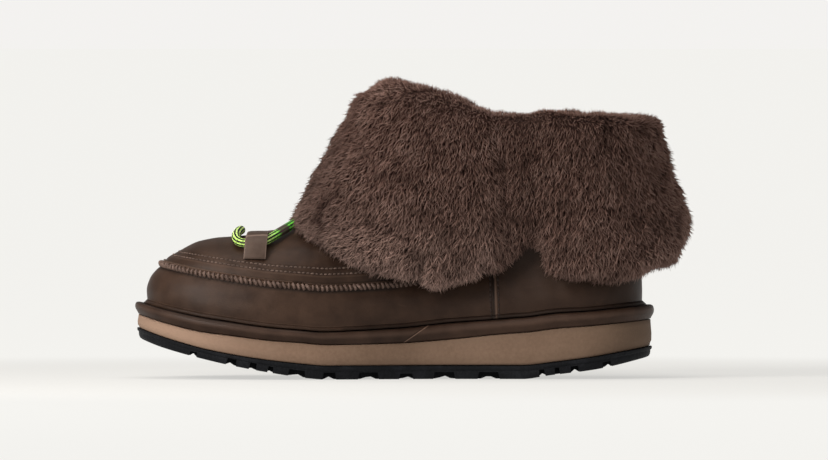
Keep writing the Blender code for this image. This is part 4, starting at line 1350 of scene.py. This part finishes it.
class Skin:
    """The upper's outer face by level, from the feather line up, and by column, from the front round."""

    def __init__(self, front, rear):
        self.points = np.array([ring(row, front, rear) for row in ring_rows()])
        self.normals = normals_over(self.points, np.gradient(self.points, axis=0))
        self.levels = np.arange(len(self.points))
        self.columns = self.points.shape[1]

    def at(self, column, level, out):
        """A point that stands out from the face, also past the collar, where the last step is repeated."""
        low = int(min(max(level, 0), len(self.levels) - 2))
        share = level - low
        line = self.points[:, column]
        turn = self.normals[:, column]
        return mix(line[low], line[low + 1], share) + unit(mix(turn[low], turn[low + 1], min(share, 1))) * out

    def round(self, column):
        """0 at the front line, 1 at the back line."""
        half = self.columns / 2
        return 1 - abs(column - half) / half

    def hem(self, column):
        """Level where the cuff's hem crosses a column."""
        fine = np.linspace(0, self.levels[-1], 800)
        x, _, z = (np.interp(fine, self.levels, values) for values in self.points[:, column].T)
        return fine[int(np.argmax(z > read(HEM, "up", along(x)) * COLLAR_HEIGHT))]

    def lining(self, column):
        """Level where the lining inside the collar ends."""
        height = self.points[:, column, 2]
        return float(np.interp(height[-1] - LINING_DROP, height, self.levels))

    def fur_out(self, column, climb, out):
        """How far the cuff's body stands out at a share of the climb from hem to collar."""
        low, high = (read(BODY, name, self.round(column)) for name in ("low", "high"))
        return WOOL_INSET * (out * FUR_DEPTH * mix(low, high, min(max(climb, 0), 1)))


def cuff_section(skin, column):
    """One closed section of the cuff, under its wool: up its outside, over the rim and down the lining."""
    collar = float(skin.levels[-1])
    hem = skin.hem(column)
    line = skin.points[:, column]
    hem += WOOL_HANG / np.linalg.norm(line[int(hem) + 1] - line[int(hem)])
    points = []
    for climb, out in zip(BODY_OUTER["climb"], BODY_OUTER["out"]):
        points.append(skin.at(column, mix(hem, collar, climb), skin.fur_out(column, climb, out)))
    rise = FUR_RISE * read(BODY, "crest", skin.round(column))
    for up, out in zip(BODY_RIM["rise"], BODY_RIM["out"]):
        point = skin.at(column, collar, skin.fur_out(column, 1, out))
        point[2] = skin.points[-1, column, 2] + up * rise
        points.append(point)
    end = skin.lining(column)
    for level in (mix(end, collar, 0.55), end):
        points.append(skin.at(column, level, -(LEATHER + LINING_DEPTH)))
    for level in np.linspace(end, hem, 6):
        points.append(skin.at(column, level, -LEATHER / 2))
    return points


def wool_grid():
    """Points over the closed cuff by section row and column, and what the wool reads at each."""
    skin = Skin(WOOL_COLUMNS * FRONT_COLUMNS, WOOL_COLUMNS * REAR_COLUMNS)
    coarse = np.array([cuff_section(skin, column) for column in range(skin.columns)]).transpose(1, 0, 2)
    closed = np.concatenate([coarse[-1:], coarse, coarse[:2]])
    points = catmull(closed, WOOL_STEPS)[WOOL_STEPS : -WOOL_STEPS - 1]
    rows = len(points)
    place = np.arange(rows) / WOOL_STEPS
    known = np.arange(len(LIE["down"]) + 1.0)
    lies = (np.append(values, values[0]) for values in LIE.values())
    down, out, cover, reach = (np.interp(place, known, values) for values in lies)
    up = unit(np.roll(points, -1, axis=0) - np.roll(points, 1, axis=0))
    normals = normals_over(points, up)
    lie = normals * out[:, None, None] - up * down[:, None, None]
    tufts = lumps(points * (1.0, 1.0, 0.55), 0.013, 21) + 0.6 * lumps(points, 0.006, 22)
    points = points + normals * (TUFT_RISE * tufts * cover[:, None])[:, :, None]
    rounds = np.array([skin.round(column) for column in range(skin.columns)])
    low = smooth(1 - np.minimum(place, rows / WOOL_STEPS - place) / PALE_HEM)[:, None]
    low = low * (0.20 + 0.80 * (1 - smooth((rounds - 0.55) / 0.1)))
    # The valley mask shortens the locks between the lobes and carries the wool's painted shade there.
    cover, reach, valley = np.broadcast_arrays(
        cover[:, None], reach[:, None], np.exp(-(((rounds - VALLEY_AT) / VALLEY_WIDTH) ** 2))
    )
    return points, lie, {"cover": cover, "reach": reach * (1 - 0.20 * valley), "low": low, "valley": valley}


def wool_tree():
    """Locks of a set, scattered over a face and laid along its flow, each with its own size and tint."""
    sizes = {name: "Float" for name in ("Density", "Length", "Jitter", "Swirl")}
    made = Growth("wool", Skin="Geometry", Locks="Collection", **sizes, Seed="Int", Wool="Material")
    given = made.given
    density = made.math("MULTIPLY", made.attribute("cover"), given["Density"])
    sockets = {"Mesh": given["Skin"], "Density": density, "Seed": given["Seed"]}
    spots = made.add("GeometryNodeDistributePointsOnFaces", {}, sockets, "Points")
    place = made.add("GeometryNodeInputPosition", {}, {})
    sockets = {"Vector": place, "Scale": 1 / WOOL_SWIRL, "Detail": 2.0}
    cloud = made.add("ShaderNodeTexNoise", {}, sockets, "Color")
    settings = {"operation": "SUBTRACT"}
    swirl = made.add("ShaderNodeVectorMath", settings, {0: cloud, 1: (0.5, 0.5, 0.5)})
    jitter = made.scaled(made.chance((-1.0, -1.0, -1.0), (1.0, 1.0, 1.0)), given["Jitter"])
    lie = made.sum(made.attribute("lie", "FLOAT_VECTOR"), made.scaled(swirl, given["Swirl"]))
    laid = made.aligned(made.sum(lie, jitter), axis="Z")
    reach = made.math("MULTIPLY", made.chance(0.65, 1.15), made.attribute("reach"))
    sockets = {"Collection": given["Locks"], "Separate Children": True, "Reset Children": True}
    sockets = {
        "Points": spots,
        "Instance": made.add("GeometryNodeCollectionInfo", {}, sockets),
        "Pick Instance": True,
        "Rotation": made.turned(laid, made.chance(-math.pi, math.pi)),
        "Scale": made.math("MULTIPLY", reach, given["Length"]),
    }
    placed = made.add("GeometryNodeInstanceOnPoints", {}, sockets)
    settings = {"data_type": "FLOAT", "domain": "INSTANCE"}
    sockets = {"Geometry": placed, "Name": "tint", "Value": made.chance()}
    return made.done(made.add("GeometryNodeStoreNamedAttribute", settings, sockets), given["Wool"])


def lock_shapes():
    """A few curled, tapered locks one unit long, in a collection of their own."""
    rng = np.random.default_rng(WOOL_SEED)
    shapes = bpy.data.collections.new("lock_shapes")
    faces = []
    for corner in range(3):
        after = (corner + 1) % 3
        faces += [(0, 1 + after, 1 + corner), (1 + corner, 1 + after, 4)]
    for number in range(LOCK_SHAPES):
        curl = rng.uniform(0.10, 0.24)
        turns = rng.uniform(0.5, 1.0)
        start = rng.uniform(0, 2 * math.pi)
        width = WOOL_WIDTH / WOOL_LENGTH * rng.uniform(0.8, 1.25)
        points = []
        rise = []
        for share, size in ((-0.08, 0.0), (0.40, 1.0), (1.0, 0.0)):
            turn = start + share * turns * 2 * math.pi
            centre = np.array([math.cos(turn), math.sin(turn), 0]) * curl * abs(share)
            centre[2] = share * (1 - 0.1 * curl)
            for corner in range(3 if size else 1):
                angle = corner * 2 * math.pi / 3 + share
                points.append(centre + np.array([math.cos(angle), math.sin(angle), 0]) * width * size / 2)
                rise.append(max(share, 0.0))
        mesh = mesh_of(f"lock_{number}", points, faces)
        give(mesh, "rise", rise)
        mesh.shade_smooth()
        shapes.objects.link(bpy.data.objects.new(f"lock_{number}", mesh))
    return shapes


def wool_pieces(under_wool, curly_wool):
    """The cuff's body under the wool, and its locks in five pieces."""
    points, lie, values = wool_grid()
    faces = quads(points, True)
    piece(mesh_of("cuff_body", points, faces), "cuff_body", under_wool, "fur", "fur_cuff")
    tree = wool_tree()
    shapes = lock_shapes()
    inputs = {"Locks": shapes, "Density": WOOL_DENSITY, "Length": WOOL_LENGTH, "Jitter": WOOL_JITTER}
    inputs.update(Swirl=WOOL_CURL, Wool=curly_wool)
    rows, columns = points.shape[:2]
    outer_rows = int(OUTER_SHARE * WOOL_STEPS)
    side = WOOL_COLUMNS * FRONT_COLUMNS
    names = ("wool_front_outer", "wool_front_inner", "wool_rear_outer", "wool_rear_inner", "wool_rim")
    for number, name in enumerate(names):
        kept = []
        for face in faces:
            row, column = divmod(face[0], columns)
            group = (0 if column < columns // 2 else 1) + 2 * (side < column < columns - side)
            group = 4 if outer_rows <= row < rows - WOOL_STEPS else group
            if group == number:
                kept.append(face)
        patch = mesh_of(name, points, kept)
        give(patch, "lie", lie, "FLOAT_VECTOR")
        for word, numbers in values.items():
            give(patch, word, numbers)
        patch.shade_smooth()
        inputs["Seed"] = WOOL_SEED + number
        piece(grown(put(name, patch), tree, inputs), name, curly_wool, "fur")
    for obj in list(shapes.objects):
        bpy.data.objects.remove(obj)
    bpy.data.collections.remove(shapes)


def paper():
    """The floor's pale paper: it glows like a lit studio sweep, takes the boot's shadow close to it, and has
    a soft painted shadow under and behind the boot.
    """
    made = Finish("paper", Roughness=1.0, Specular_IOR_Level=0.0, Emission_Strength=1.0)
    x, y, _ = made.axes(made.place)
    near = (x * x + y * y).ramp(0.36, 0.05)
    # Painted shadow: a soft darker ellipse under and behind the boot.
    ahead, beside = x / 0.15, (y - 0.06) / 0.22
    shadow = (ahead * ahead + beside * beside).ramp(1.1, 0.3)
    base = made.blend(near, (0.02, 0.02, 0.019), (0.25, 0.25, 0.242))
    base = made.blend(shadow, base, (0.21, 0.21, 0.203))
    made.join(Base_Color=base, Emission_Color=made.blend(near, (0.885, 0.876, 0.846), (0.57, 0.564, 0.545)))
    return made.material


def facing(eye, target):
    """The turn of a lamp or a camera at the eye that looks at the target."""
    return (Vector(target) - Vector(eye)).to_track_quat("-Z", "Y").to_euler()


def studio():
    """A pale floor, soft light from the upper left and the front, and the camera at the photo's angle."""
    corners = [(-FLOOR_REACH, -FLOOR_REACH, 0), (FLOOR_REACH, -FLOOR_REACH, 0)]
    corners += [(FLOOR_REACH, FLOOR_REACH, 0), (-FLOOR_REACH, FLOOR_REACH, 0)]
    floor = put("floor", mesh_of("floor", corners, [(0, 1, 2, 3)]))
    floor.data.materials.append(paper())
    world = bpy.data.worlds.new("studio")
    world.use_nodes = True
    nodes = Nodes(world.node_tree)
    sky = nodes.tree.nodes["Background"]
    sky.inputs["Color"].default_value = (1.0, 0.985, 0.965, 1)
    height = nodes.axes(nodes.add("ShaderNodeTexCoord", {}, {}, "Generated"))[2]
    dim = height.ramp(0.03, 0.30) * -0.60 + 0.90
    nodes.tree.links.new(dim.socket, sky.inputs["Strength"])
    bpy.context.scene.world = world
    for name, place, size, power in LAMPS:
        light = bpy.data.lights.new(name, "AREA")
        light.size = size
        light.energy = power
        light.color = (1.0, 0.955, 0.915)
        lamp = put(name, light)
        lamp.location = place
        lamp.rotation_euler = facing(place, (0, 0, 0.06))
    tilt = math.radians(VIEW_RISE)
    lens = bpy.data.cameras.new("camera")
    lens.sensor_width = 36
    lens.lens = 36 * VIEW_DISTANCE / VIEW_WIDTH
    lens.clip_end = 2 * FLOOR_REACH
    camera = put("camera", lens)
    camera.location = Vector(VIEW_TARGET) + Vector((0, -math.cos(tilt), math.sin(tilt))) * VIEW_DISTANCE
    camera.rotation_euler = facing(camera.location, VIEW_TARGET)
    bpy.context.scene.camera = camera
    bpy.context.scene.view_settings.view_transform = "Standard"


def main():
    """Every piece in its material, then the studio."""
    skin_leather = leather("leather", (0.0185, 0.0088, 0.0050), (0.052, 0.0285, 0.0180), (0.15, 0.094, 0.067))
    edge = (0.0165, 0.0078, 0.0044), (0.042, 0.0225, 0.0145), (0.17, 0.105, 0.076)
    edge_leather = leather("edge_leather", *edge, joint=True)
    strap = (0.044, 0.027, 0.0195), (0.105, 0.072, 0.056), (0.26, 0.185, 0.150)
    strap_leather = leather("strap_leather", *strap)
    whip_thread = thread("whip_thread", (0.045, 0.026, 0.019), (0.170, 0.110, 0.087))
    seam_thread = thread("seam_thread", (0.036, 0.021, 0.015), (0.160, 0.107, 0.084))
    dark_thread = thread("dark_thread", (0.010, 0.006, 0.004), (0.045, 0.027, 0.020))
    points, normals, run = upper_piece(skin_leather)
    stitches(points, normals, run, whip_thread, seam_thread, dark_thread)
    outsole_piece(rubber("rubber"))
    midsole_piece(foam("foam"))
    wrap_piece(edge_leather)
    insole_piece(pile("insole_pile", (0.025, 0.017, 0.013), (0.11, 0.078, 0.062)))
    strap_piece(strap_leather)
    lace_piece(braid("braid"))
    under_wool = pile("under_wool", (0.012, 0.006, 0.0045), (0.070, 0.037, 0.028))
    curly_wool = wool("curly_wool", (0.024, 0.0115, 0.0085), (0.168, 0.093, 0.073), (0.36, 0.240, 0.200))
    wool_pieces(under_wool, curly_wool)
    studio()


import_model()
main()
